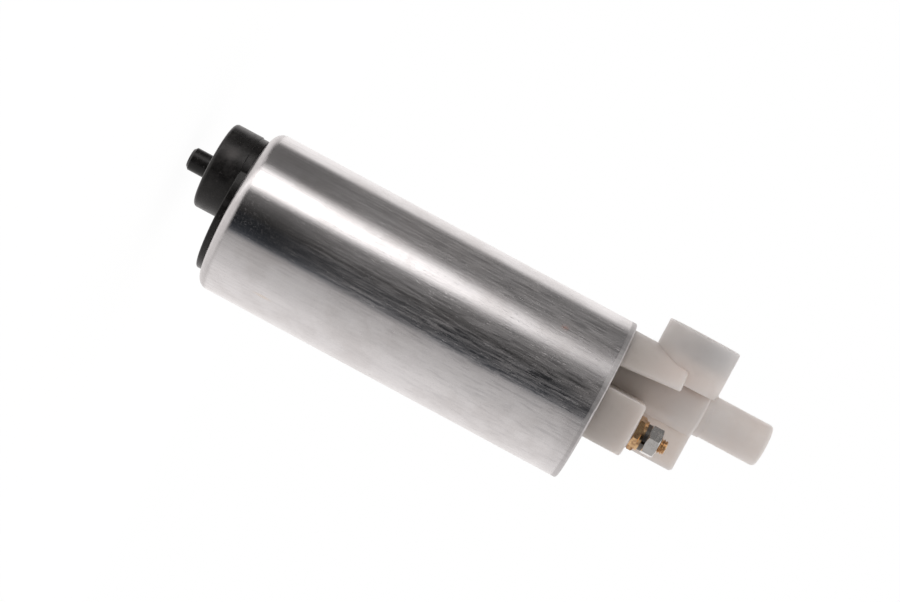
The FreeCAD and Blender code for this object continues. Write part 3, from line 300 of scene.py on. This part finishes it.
def can_look(tree, place):
    """Drawn aluminium: bright at the inlet end, hazy and dragged towards the head, a scuffed inlet
    rim, and painted shade on the mouth band and its lip.
    """
    height = tree.height(place)
    fine = streaks(tree, place, across=3600.0, along=26.0, seed=1.0)
    wavy = streaks(tree, place, across=700.0, along=9.0, seed=3.0)
    drags = streaks(tree, place, across=1500.0, along=150.0, seed=6.0)
    brushed = streaks(tree, place, across=1900.0, along=90.0, seed=12.0)
    nicks = streaks(tree, place, across=4600.0, along=420.0, seed=9.0)
    stains = patches(tree, place, scale=95.0, low=0.42, high=0.66, seed=8.0)
    pits = patches(tree, place, scale=2400.0, low=0.64, high=0.7, seed=5.0)
    ragged = patches(tree, place, scale=1900.0, low=0.42, high=0.52, seed=2.0)
    used = tree.ramp(height, *CAN_USED)
    haze = tree.times(tree.ramp(height, *CAN_HAZE), tree.blend(stains, 0.75, 1.1))
    rim = tree.ramp(height, *CAN_INLET_RIM)
    mouth_shade = tree.ramp(height, *CAN_MOUTH_SHADE)
    lip_shade = tree.ramp(height, *CAN_LIP_SHADE)
    specks = tree.noise(place, scale=2300.0, seed=4.0, detail=4.0)
    specked = tree.times(tree.ramp(specks, 0.56, 0.64), tree.ramp(height, *CAN_SPECKS))
    rusty = tree.times(mark_at(tree, place, RUSTY_SPOT, width=0.0012, length=0.0014), ragged)
    creamy = mark_at(tree, place, CREAMY_SPOT, width=0.0007, length=0.0034)
    dragged = tree.times(tree.ramp(drags, 0.53, 0.6), tree.blend(used, 0.35, 1.0))
    nicked = tree.times(tree.ramp(nicks, 0.6, 0.72), tree.blend(used, 0.5, 1.0))

    colour = tree.blend(tree.times(stains, 0.45), (0.92, 0.905, 0.91), (0.72, 0.69, 0.68))
    layers = (
        (tree.times(dragged, 0.18), (0.3, 0.3, 0.32)),
        (tree.times(pits, 0.4), (0.45, 0.44, 0.45)),
        (tree.times(rim, 0.4), (0.45, 0.43, 0.43)),
        # Painted shade: the mouth band and the lip darken the colour where the reflection fades at
        # the head end.
        (tree.times(mouth_shade, 0.15), (0.4, 0.39, 0.39)),
        (tree.times(lip_shade, 0.25), (0.24, 0.23, 0.23)),
        (tree.ramp(brushed, 0.35, 0.65, 0.1, 0.0), (0.3, 0.29, 0.29)),
        (tree.times(rusty, 0.5), (0.62, 0.2, 0.1)),
        (tree.times(creamy, 0.5), (1.0, 0.86, 0.72)),
    )
    for share, tone in layers:
        colour = tree.blend(share, colour, tone)

    rough = tree.ramp(fine, 0.3, 0.75, 0.1, 0.18)
    for mask, share in ((haze, 0.04), (rim, 0.18), (mouth_shade, 0.05), (lip_shade, 0.2), (nicked, 0.2)):
        rough = tree.plus(rough, tree.times(mask, share))

    undragged = tree.minus(1.0, tree.times(dragged, 0.9))
    clouded = tree.times(tree.times(haze, undragged), tree.ramp(brushed, 0.36, 0.66, 0.06, 0.25))
    clouded = tree.plus(clouded, tree.times(specked, 0.08))
    clouded = tree.plus(clouded, tree.times(tree.work("MAXIMUM", rusty, creamy), 0.25))

    lines = tree.bump(wavy, WAVY_DEPTH, 0.5)
    lines = tree.bump(fine, FINE_DEPTH, tree.blend(used, 0.65, 1.0), lines)
    marks = tree.minus(tree.plus(nicked, pits), tree.times(dragged, 0.4))
    return {
        "Base Color": colour,
        "Metallic": tree.minus(1.0, clouded),
        "Roughness": rough,
        "Normal": tree.bump(marks, NICK_DEPTH, 0.6, lines),
    }


# Where a painted highlight lies as a pale patch, mixed with dust, on top of the round boss of the
# inlet cover.
HIGHLIGHT_SPOT = (-0.0124, -0.0156, -0.056)
# Edges this wide look rounded, in the black cover and in the white head.
COVER_EDGE = 0.0002
HEAD_EDGE = 0.00035


def soft_edges(tree, radius):
    return tree.add("ShaderNodeBevel", {"Radius": radius}, samples=4).outputs[0]


def black_plastic_look(tree, place):
    """Satin black moulding, dusty in places, with a painted highlight as a pale patch on top of its
    round boss.
    """
    grain = tree.effect(GRAIN, Place=place, Scale=5200.0, Seed=2.0)
    dust = patches(tree, place, scale=420.0, low=0.45, high=0.68, seed=4.0)
    spots = patches(tree, place, scale=1500.0, low=0.6, high=0.7, seed=6.0)
    # Painted highlight: a pale patch on top of the round boss, mixed with the dust.
    painted_highlight = mark_at(tree, place, HIGHLIGHT_SPOT, width=0.0036, length=0.003)
    dust_and_highlight = tree.times(tree.blend(painted_highlight, dust, 0.9), tree.blend(painted_highlight, 0.08, 0.9))
    dust_and_highlight = tree.work("MAXIMUM", dust_and_highlight, tree.times(spots, 0.35))
    black = tree.blend(grain["Tone"], (0.008, 0.0075, 0.0075), (0.018, 0.017, 0.0165))
    soft = soft_edges(tree, COVER_EDGE)
    return {
        "Base Color": tree.blend(tree.times(dust_and_highlight, 0.42), black, (0.36, 0.34, 0.33)),
        "Roughness": tree.ramp(tree.plus(dust_and_highlight, grain["Tone"]), 0.3, 1.2, 0.22, 0.6),
        "Normal": tree.bump(grain["Height"], depth=0.00002, strength=0.5, normal=soft),
    }


# Bands of the outlet head, from the height where each begins down to where it is complete:
# soil patches that grow heavier towards its foot at the can, partly painted shade, and painted
# shade that greys its lower part.
HEAD_SOIL_AND_SHADE = (0.0575, 0.0495)
HEAD_PAINTED_SHADE = (0.069, 0.052)


def white_plastic_look(tree, place):
    """Natural acetal: milky, warm, a little cloudy, with soil patches and painted shade that grey
    it towards the can.
    """
    grain = tree.effect(GRAIN, Place=place, Scale=3800.0, Seed=9.0)
    cloud = patches(tree, place, scale=70.0, low=0.35, high=0.7, seed=3.0)
    soil = patches(tree, place, scale=260.0, low=0.5, high=0.75, seed=5.0)
    height = tree.height(place)
    # Soil patches, laid on more heavily towards the foot as painted shade.
    soil_and_shade = tree.times(soil, tree.blend(tree.ramp(height, *HEAD_SOIL_AND_SHADE), 0.16, 0.7))
    milky_tone_and_shade = tree.blend(cloud, (0.87, 0.79, 0.745), (0.93, 0.86, 0.82))
    # Painted shade: the lower part of the head, towards the can, is greyed.
    milky_tone_and_shade = tree.blend(tree.ramp(height, *HEAD_PAINTED_SHADE), milky_tone_and_shade, (0.6, 0.56, 0.525))
    soft = soft_edges(tree, HEAD_EDGE)
    return {
        "Base Color": tree.blend(tree.times(soil_and_shade, 0.5), milky_tone_and_shade, (0.4, 0.36, 0.31)),
        "Roughness": tree.ramp(tree.plus(grain["Tone"], soil), 0.3, 1.4, 0.34, 0.56),
        "Normal": tree.bump(grain["Height"], depth=0.000018, strength=0.45, normal=soft),
    }


def turned_metal(base, dark, rough, pitch=0.00012, depth=0.000004, tarnish=0.35):
    """A metal finish with lathe rings and uneven tarnish."""

    def look(tree, place):
        rings = tree.effect(RINGS, Place=place, Pitch=pitch)["Height"]
        patch = patches(tree, place, scale=650.0, low=0.42, high=0.7, seed=2.0)
        scratches = {"Scale": 900.0, "Width": 0.012, "Amount": 0.42, "Seed": 4.0}
        marks = tree.effect(SCRATCHES, Place=place, **scratches)["Mask"]
        spread = tree.plus(tree.times(rings, 0.5), tree.times(patch, 0.6))
        return {
            "Base Color": tree.blend(tree.times(patch, tarnish), base, dark),
            "Roughness": tree.ramp(spread, 0.1, 1.0, rough * 0.75, rough * 1.5),
            "Normal": tree.bump(tree.plus(rings, marks), depth, 0.7),
        }

    return look


def pressed_look(base, dark, rough, scale, depth):
    """A grainy pressed or moulded finish: sintered metal, ferrite, carbon, resin or rubber."""

    def look(tree, place):
        grain = tree.effect(GRAIN, Place=place, Scale=scale, Seed=1.0)
        pores = patches(tree, place, scale=scale * 0.4, low=0.58, high=0.66, seed=3.0)
        skin = tree.blend(grain["Tone"], base, dark)
        return {
            "Base Color": tree.blend(pores, skin, dark),
            "Roughness": tree.ramp(grain["Tone"], 0.3, 0.7, rough * 0.85, min(1.0, rough * 1.2)),
            "Normal": tree.bump(tree.minus(grain["Height"], pores), depth, 0.6),
        }

    return look


def layered_look(base, dark, rough, pitch, depth):
    """Sheets or wire laid one on another along Z."""

    def look(tree, place):
        layers = tree.effect(LAYERS, Place=place, Pitch=pitch)["Height"]
        patch = patches(tree, place, scale=500.0, low=0.4, high=0.7, seed=6.0)
        seam = tree.ramp(layers, 0.0, 0.35, 1.0, 0.0)
        shade = tree.plus(tree.times(seam, 0.6), tree.times(patch, 0.3))
        return {
            "Base Color": tree.blend(shade, base, dark),
            "Roughness": tree.ramp(patch, 0.0, 1.0, rough * 0.8, rough * 1.3),
            "Normal": tree.bump(layers, depth, 0.8),
        }

    return look


METAL = {"Metallic": 1.0}
RUBBER = {"Specular IOR Level": 0.35}
MILKY = {
    "Subsurface Weight": 1.0,
    "Subsurface Radius": (1.0, 0.98, 0.95),
    "Subsurface Scale": 0.005,
    "IOR": 1.48,
}
# Each slot's look, with base colour first and dark colour second, and its constants.
LOOKS = {
    "can_aluminium": (can_look, {}),
    "black_plastic": (black_plastic_look, {"Specular IOR Level": 0.4}),
    "white_plastic": (white_plastic_look, MILKY),
    "seal_rubber": (
        pressed_look(
            (0.02, 0.02, 0.021), (0.011, 0.011, 0.012), rough=0.6, scale=7000.0, depth=0.00001
        ),
        RUBBER,
    ),
    "valve_rubber": (
        pressed_look(
            (0.05, 0.028, 0.02), (0.025, 0.014, 0.011), rough=0.58, scale=7000.0, depth=0.00001
        ),
        RUBBER,
    ),
    "brass": (
        turned_metal((0.82, 0.55, 0.3), (0.22, 0.09, 0.045), rough=0.17, tarnish=0.85),
        METAL,
    ),
    "pump_steel": (turned_metal((0.56, 0.55, 0.54), (0.3, 0.28, 0.26), rough=0.27), METAL),
    "bright_steel": (
        turned_metal(
            (0.72, 0.71, 0.7), (0.45, 0.43, 0.41), rough=0.16, pitch=0.0001, depth=0.000002
        ),
        METAL,
    ),
    "bush_bronze": (
        pressed_look(
            (0.6, 0.4, 0.24), (0.26, 0.16, 0.09), rough=0.4, scale=6000.0, depth=0.000012
        ),
        METAL,
    ),
    "sintered_steel": (
        pressed_look(
            (0.36, 0.355, 0.35), (0.14, 0.14, 0.14), rough=0.42, scale=5200.0, depth=0.000016
        ),
        METAL,
    ),
    "magnet_ferrite": (
        pressed_look(
            (0.055, 0.055, 0.058), (0.025, 0.025, 0.027), rough=0.62, scale=3600.0, depth=0.00003
        ),
        {},
    ),
    "spring_steel": (turned_metal((0.5, 0.49, 0.48), (0.24, 0.22, 0.2), rough=0.28), METAL),
    "dark_steel": (turned_metal((0.16, 0.15, 0.14), (0.05, 0.045, 0.04), rough=0.36), METAL),
    "lamination_steel": (
        layered_look(
            (0.42, 0.42, 0.43), (0.12, 0.12, 0.13), rough=0.38, pitch=0.0005, depth=0.00003
        ),
        METAL,
    ),
    "winding_copper": (
        layered_look(
            (0.62, 0.21, 0.07), (0.2, 0.05, 0.02), rough=0.28, pitch=0.00062, depth=0.00012
        ),
        {"Metallic": 0.85},
    ),
    "dark_resin": (
        pressed_look(
            (0.045, 0.028, 0.02), (0.02, 0.013, 0.01), rough=0.45, scale=4200.0, depth=0.00002
        ),
        {},
    ),
    "copper": (
        turned_metal(
            (0.83, 0.42, 0.26), (0.32, 0.13, 0.07), rough=0.24, pitch=0.00022, depth=0.000006
        ),
        METAL,
    ),
    "brush_carbon": (
        pressed_look(
            (0.06, 0.058, 0.057), (0.024, 0.023, 0.023), rough=0.5, scale=5200.0, depth=0.00002
        ),
        {},
    ),
    "plated_steel": (
        turned_metal((0.84, 0.83, 0.81), (0.42, 0.4, 0.37), rough=0.22, tarnish=0.45),
        METAL,
    ),
}
FINISHES = {slot: finish(slot, look, **constants) for slot, (look, constants) in LOOKS.items()}

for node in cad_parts.values():
    for spot in node.material_slots:
        spot.material = FINISHES[spot.material.name]


class Shape(Tree):
    """The same short calls for a Geometry Nodes tree with named sizes."""

    def __init__(self, name, sizes):
        self.group = bpy.data.node_groups.new(name, "GeometryNodeTree")
        super().__init__(self.group)
        sides = self.group.interface
        for label, value in sizes.items():
            socket = sides.new_socket(label, in_out="INPUT", socket_type="NodeSocketFloat")
            socket.default_value = value
        sides.new_socket("Mesh", in_out="OUTPUT", socket_type="NodeSocketGeometry")
        self.sizes = self.add("NodeGroupInput").outputs

    def close(self, mesh, material):
        solid = self.add("GeometryNodeRealizeInstances", {0: mesh}).outputs[0]
        faced = self.add("GeometryNodeSetMaterial", {"Geometry": solid, "Material": material})
        self.add("NodeGroupOutput", {0: faced.outputs[0]})
        return self.group


def grown(name, tree, sizes, shift):
    """Run a tree with these sizes, and keep its result as a plain mesh moved by shift."""
    carrier = in_scene(name + "_carrier", bpy.data.meshes.new(name + "_carrier"))
    modifier = carrier.modifiers.new("shape", "NODES")
    modifier.node_group = tree
    for item in tree.interface.items_tree:
        if item.name in sizes:
            modifier[item.identifier] = sizes[item.name]
    graph = bpy.context.evaluated_depsgraph_get()
    mesh = bpy.data.meshes.new_from_object(carrier.evaluated_get(graph))
    mesh.transform(Matrix.Translation(shift))
    bpy.data.objects.remove(carrier)
    return in_scene(name, mesh)


# The rod's mesh: how many points go round it, and how many rings of them to one pitch.
ROD_SIDES = 40
RINGS_PER_PITCH = 10.0
# The thread's form: how steep its flanks are, and how soft the bend to its root.
FLANK_SLOPE = 2.3
ROOT_BEND = 0.1
# More turns than the thread has, so that its phase is counted from above zero.
SPARE_TURNS = 40.0
# The stud's foot, which the head is moulded round.
FOOT_RADIUS = 0.0032
FOOT_HEIGHT = 0.0015


def threaded_rod_tree():
    """A rod along Z, threaded above Start and bevelled at its tip, with a round foot."""
    sizes = {
        "Radius": 0.002,
        "Length": 0.024,
        "Pitch": 0.0007,
        "Depth": 0.0004,
        "Start": 0.014,
        "Tip": 0.0004,
    }
    tree = Shape("threaded_rod", sizes)
    given = tree.sizes
    pitches = tree.work("DIVIDE", given["Length"], given["Pitch"])
    feeds = {
        "Vertices": ROD_SIDES,
        "Side Segments": tree.times(pitches, RINGS_PER_PITCH),
        "Radius": given["Radius"],
        "Depth": given["Length"],
    }
    rod = tree.add("GeometryNodeMeshCylinder", feeds, fill_type="TRIANGLE_FAN").outputs["Mesh"]
    place = tree.add("GeometryNodeInputPosition").outputs[0]
    x, y, level = tree.add("ShaderNodeSeparateXYZ", {0: place}).outputs
    level = tree.plus(level, tree.times(given["Length"], 0.5))
    turn = tree.work("DIVIDE", tree.work("ARCTAN2", y, x), 2 * math.pi)
    climb = tree.minus(tree.work("DIVIDE", level, given["Pitch"]), turn)
    phase = tree.work("FRACT", tree.plus(climb, SPARE_TURNS))
    flank = tree.work("ABSOLUTE", tree.minus(phase, 0.5))
    valley = tree.work("SMOOTH_MIN", tree.times(flank, FLANK_SLOPE), 1.0, ROOT_BEND)
    above = tree.minus(level, given["Start"])
    started = tree.work("DIVIDE", above, given["Pitch"], use_clamp=True)
    cut = tree.times(tree.times(valley, started), given["Depth"])
    left = tree.minus(given["Length"], level)
    bevel = tree.work("MAXIMUM", tree.minus(given["Tip"], left), 0.0)
    inset = tree.work("MAXIMUM", cut, bevel)
    share = tree.work("DIVIDE", tree.minus(given["Radius"], inset), given["Radius"])
    spread = tree.add("ShaderNodeCombineXYZ", {"X": share, "Y": share, "Z": 1.0}).outputs[0]
    moved = tree.vector("MULTIPLY", place, spread)
    shaped = tree.add("GeometryNodeSetPosition", {"Geometry": rod, "Position": moved}).outputs[0]
    smooth = tree.add("GeometryNodeSetShadeSmooth", {"Geometry": shaped}).outputs[0]
    feeds = {"Vertices": ROD_SIDES, "Radius": FOOT_RADIUS, "Depth": FOOT_HEIGHT}
    foot = tree.add("GeometryNodeMeshCylinder", feeds).outputs["Mesh"]
    sunk = tree.minus(FOOT_HEIGHT / 2, tree.times(given["Length"], 0.5))
    drop = tree.add("ShaderNodeCombineXYZ", {"Z": sunk}).outputs[0]
    foot = tree.add("GeometryNodeTransform", {"Geometry": foot, "Translation": drop}).outputs[0]
    both = tree.add("GeometryNodeJoinGeometry")
    tree.links.new(foot, both.inputs[0])
    tree.links.new(smooth, both.inputs[0])
    return tree.close(both.outputs[0], FINISHES["brass"])


# Points nearer than this are one point, and edges sharper than this stay sharp.
SAME_POINT = 1e-7
SHARP_EDGE = math.radians(40)


def compressed_spring(name):
    """A spring's own coil as a piece of its own, merged and smoothed, on the pump body."""
    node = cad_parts[name]
    merged = bmesh.new()
    merged.from_mesh(node.data)
    bmesh.ops.remove_doubles(merged, verts=merged.verts, dist=SAME_POINT)
    mesh = bpy.data.meshes.new(name + "_coil")
    merged.to_mesh(mesh)
    merged.free()
    mesh.materials.append(FINISHES["spring_steel"])
    mesh.shade_smooth()
    mesh.set_sharp_from_angle(angle=SHARP_EDGE)
    coil = in_scene(name + "_coil", mesh)
    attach(coil, "pump_body")
    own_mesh(coil)
    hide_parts(name)


for side in ("front", "rear"):
    compressed_spring(side + "_brush_spring")
compressed_spring("check_valve_spring")
compressed_spring("relief_spring")

ROD = threaded_rod_tree()
for side in ("front", "rear"):
    low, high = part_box(side + "_stud")
    middle = (low + high) / 2
    length = high.z - low.z
    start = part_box(side + "_base_nut")[0].z - low.z
    stud = grown(side + "_threaded_stud", ROD, {"Length": length, "Start": start}, middle)
    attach(stud, "pump_body")
    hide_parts(side + "_stud")


# The camera stands in front of the pump, a little to its left and a little above square to
# it, and is rolled so that the can runs down to the right.
ACROSS = math.radians(3.2)
RAISED = 0.02
ROLL = math.radians(28.3)
BACK = Vector((-math.sin(ACROSS), -math.cos(ACROSS), RAISED)).normalized()
ALONG = (Vector((0, 0, 1)) - BACK * BACK.z).normalized()
BOSS_SIDE = BACK.cross(ALONG)
LENS_MM = 96.8
SENSOR_MM = 36.0
DISTANCE = 0.6
AIM = BOSS_SIDE * (4.6 * MM) + ALONG * (6.9 * MM)


def make_camera():
    lens = bpy.data.cameras.new("camera")
    lens.sensor_width = SENSOR_MM
    lens.lens = LENS_MM
    lens.clip_start, lens.clip_end = 0.01, 100.0
    camera = in_scene("camera", lens)
    right = ALONG * math.cos(ROLL) + BOSS_SIDE * math.sin(ROLL)
    up = BOSS_SIDE * math.cos(ROLL) - ALONG * math.sin(ROLL)
    turn = Matrix((right, up, BACK)).transposed().to_4x4()
    camera.matrix_world = Matrix.Translation(AIM + BACK * DISTANCE) @ turn
    bpy.context.scene.camera = camera


FLOOR_REACH = 0.3
FLOOR_GLOW = 0.965
FLOOR_TONE = (0.05, 0.05, 0.05, 1.0)


def make_floor():
    """A plain pale floor under the pump, which only the camera sees.

    Most of its light is its own, so that it meets the white room without a line.
    """
    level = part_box("inlet_cover")[0].z
    ends = (-FLOOR_REACH, FLOOR_REACH)
    corners = [(x, y, level) for y in ends for x in ends]
    mesh = bpy.data.meshes.new("floor")
    mesh.from_pydata(corners, [], [(0, 1, 3, 2)])
    floor = in_scene("floor", mesh)
    pale = bpy.data.materials.new("pale_floor")
    pale.use_nodes = True
    pale.node_tree.nodes.clear()
    tree = Tree(pale.node_tree)
    lit = tree.add("ShaderNodeEmission", {"Strength": FLOOR_GLOW}).outputs[0]
    matt = tree.add("ShaderNodeBsdfDiffuse", {"Color": FLOOR_TONE}).outputs[0]
    both = tree.add("ShaderNodeAddShader", {0: lit, 1: matt}).outputs[0]
    clear = tree.add("ShaderNodeBsdfTransparent").outputs[0]
    seen = tree.add("ShaderNodeLightPath").outputs["Is Camera Ray"]
    shown = tree.add("ShaderNodeMixShader", {0: seen, 1: clear, 2: both}).outputs[0]
    tree.add("ShaderNodeOutputMaterial", {0: shown})
    mesh.materials.append(pale)


# How bright the studio's walls are, by the angle in degrees from the camera towards the side
# boss: a dark gap in front, a grey wall and a bright screen on the boss side, a pale one below.
WALLS = [
    (-180, 1.0),
    (-160, 0.92),
    (-133, 0.82),
    (-116, 0.76),
    (-90, 0.7),
    (-79, 0.6),
    (-60, 0.51),
    (-42, 0.41),
    (-33.5, 0.32),
    (-28.5, 0.06),
    (-24, 0.03),
    (-10, 0.012),
    (6, 0.03),
    (14, 0.07),
    (22, 0.12),
    (30, 0.14),
    (47, 0.16),
    (65, 0.16),
    (85, 0.145),
    (109, 0.135),
    (119, 0.16),
    (125, 0.4),
    (129, 0.8),
    (150, 0.95),
    (180, 1.0),
]


# A ray's rise is the share of Z in it. The can's inlet end mirrors rays that fall a little,
# and its head end rays that climb a little: the rise at the one, and the step to the other.
INLET_RISE = -0.115
RISE_STEP = 0.165
# The strip light that the can mirrors as its bright streak. The pairs are for the inlet end
# and the head end: its angle, and how far from that angle it starts and ends to fade.
STRIP_ANGLE = (47.0, 43.0)
STRIP_CORE = (3.0, 0.0)
STRIP_EDGE = (21.0, 14.0)
# It fades more slowly on the side away from the camera.
FAR_SIDE = 0.65
# The light from above and from below, each with the rise where it begins and is complete.
ABOVE = (0.14, 0.7)
ABOVE_LIGHT = 0.86
BELOW = (-0.25, -0.6)
BELOW_LIGHT = 0.8
# The dark gap is cool and the rest of the room warm.
WARM = (1.0, 0.965, 0.955)
COOL = (0.84, 0.94, 1.12)
COOL_ANGLE = -16.0
WHITE = (1.0, 1.0, 1.0)


def make_studio():
    """A white room to the camera, and walls of soft light to what the pump mirrors."""
    world = bpy.data.worlds.new("studio")
    bpy.context.scene.world = world
    world.use_nodes = True
    world.node_tree.nodes.clear()
    tree = Tree(world.node_tree)
    ray = tree.add("ShaderNodeTexCoord").outputs["Generated"]

    def part(axis):
        return tree.vector("DOT_PRODUCT", ray, axis, output="Value")

    def along_can(ends):
        return tree.blend(head_end, *ends)

    angle = tree.work("DEGREES", tree.work("ARCTAN2", part(BOSS_SIDE), part(BACK)))
    turn = tree.work("MULTIPLY_ADD", angle, 1 / 360, 0.5)
    walls = tree.add("ShaderNodeFloatCurve", {"Value": turn})
    curve = walls.mapping.curves[0]
    for number, (degrees, light) in enumerate(WALLS):
        spot = (degrees / 360 + 0.5, light)
        if number < 2:
            curve.points[number].location = spot
        else:
            curve.points.new(*spot)
    for point in curve.points:
        point.handle_type = "VECTOR"
    walls.mapping.update()

    rise = part((0.0, 0.0, 1.0))
    climb = tree.minus(rise, INLET_RISE)
    head_end = tree.work("DIVIDE", climb, RISE_STEP, use_clamp=True)
    beyond = tree.minus(angle, along_can(STRIP_ANGLE))
    gap = tree.work("MAXIMUM", tree.times(beyond, FAR_SIDE), tree.times(beyond, -1.0))
    strip = tree.ramp(gap, along_can(STRIP_CORE), along_can(STRIP_EDGE), 1.0, 0.0)
    peak = tree.plus(
        tree.ramp(rise, -0.07, 0.02, 1.6, 0.7),
        tree.ramp(rise, 0.015, 0.03, 0.0, 0.4),
    )
    peak = tree.times(peak, tree.ramp(rise, 0.036, 0.046, 1.0, 0.0))
    light = tree.plus(walls.outputs[0], tree.times(strip, peak))
    light = tree.blend(tree.ramp(rise, *ABOVE), light, ABOVE_LIGHT)
    light = tree.work("MAXIMUM", light, tree.ramp(rise, *BELOW, 0.0, BELOW_LIGHT))
    seen = tree.add("ShaderNodeLightPath").outputs["Is Camera Ray"]
    strength = tree.blend(seen, light, 1.0)

    off_gap = tree.work("ABSOLUTE", tree.minus(angle, COOL_ANGLE))
    cool = tree.ramp(off_gap, 9.0, 18.0, 1.0, 0.0)
    cool = tree.times(cool, tree.ramp(tree.work("ABSOLUTE", rise), 0.13, 0.2, 1.0, 0.0))
    tint = tree.blend(seen, tree.blend(cool, WARM, COOL), WHITE)
    sky = tree.add("ShaderNodeBackground", {"Color": tint, "Strength": strength})
    tree.add("ShaderNodeOutputWorld", {0: sky.outputs[0]})


make_camera()
make_floor()
make_studio()
bpy.context.scene.view_settings.view_transform = "Standard"
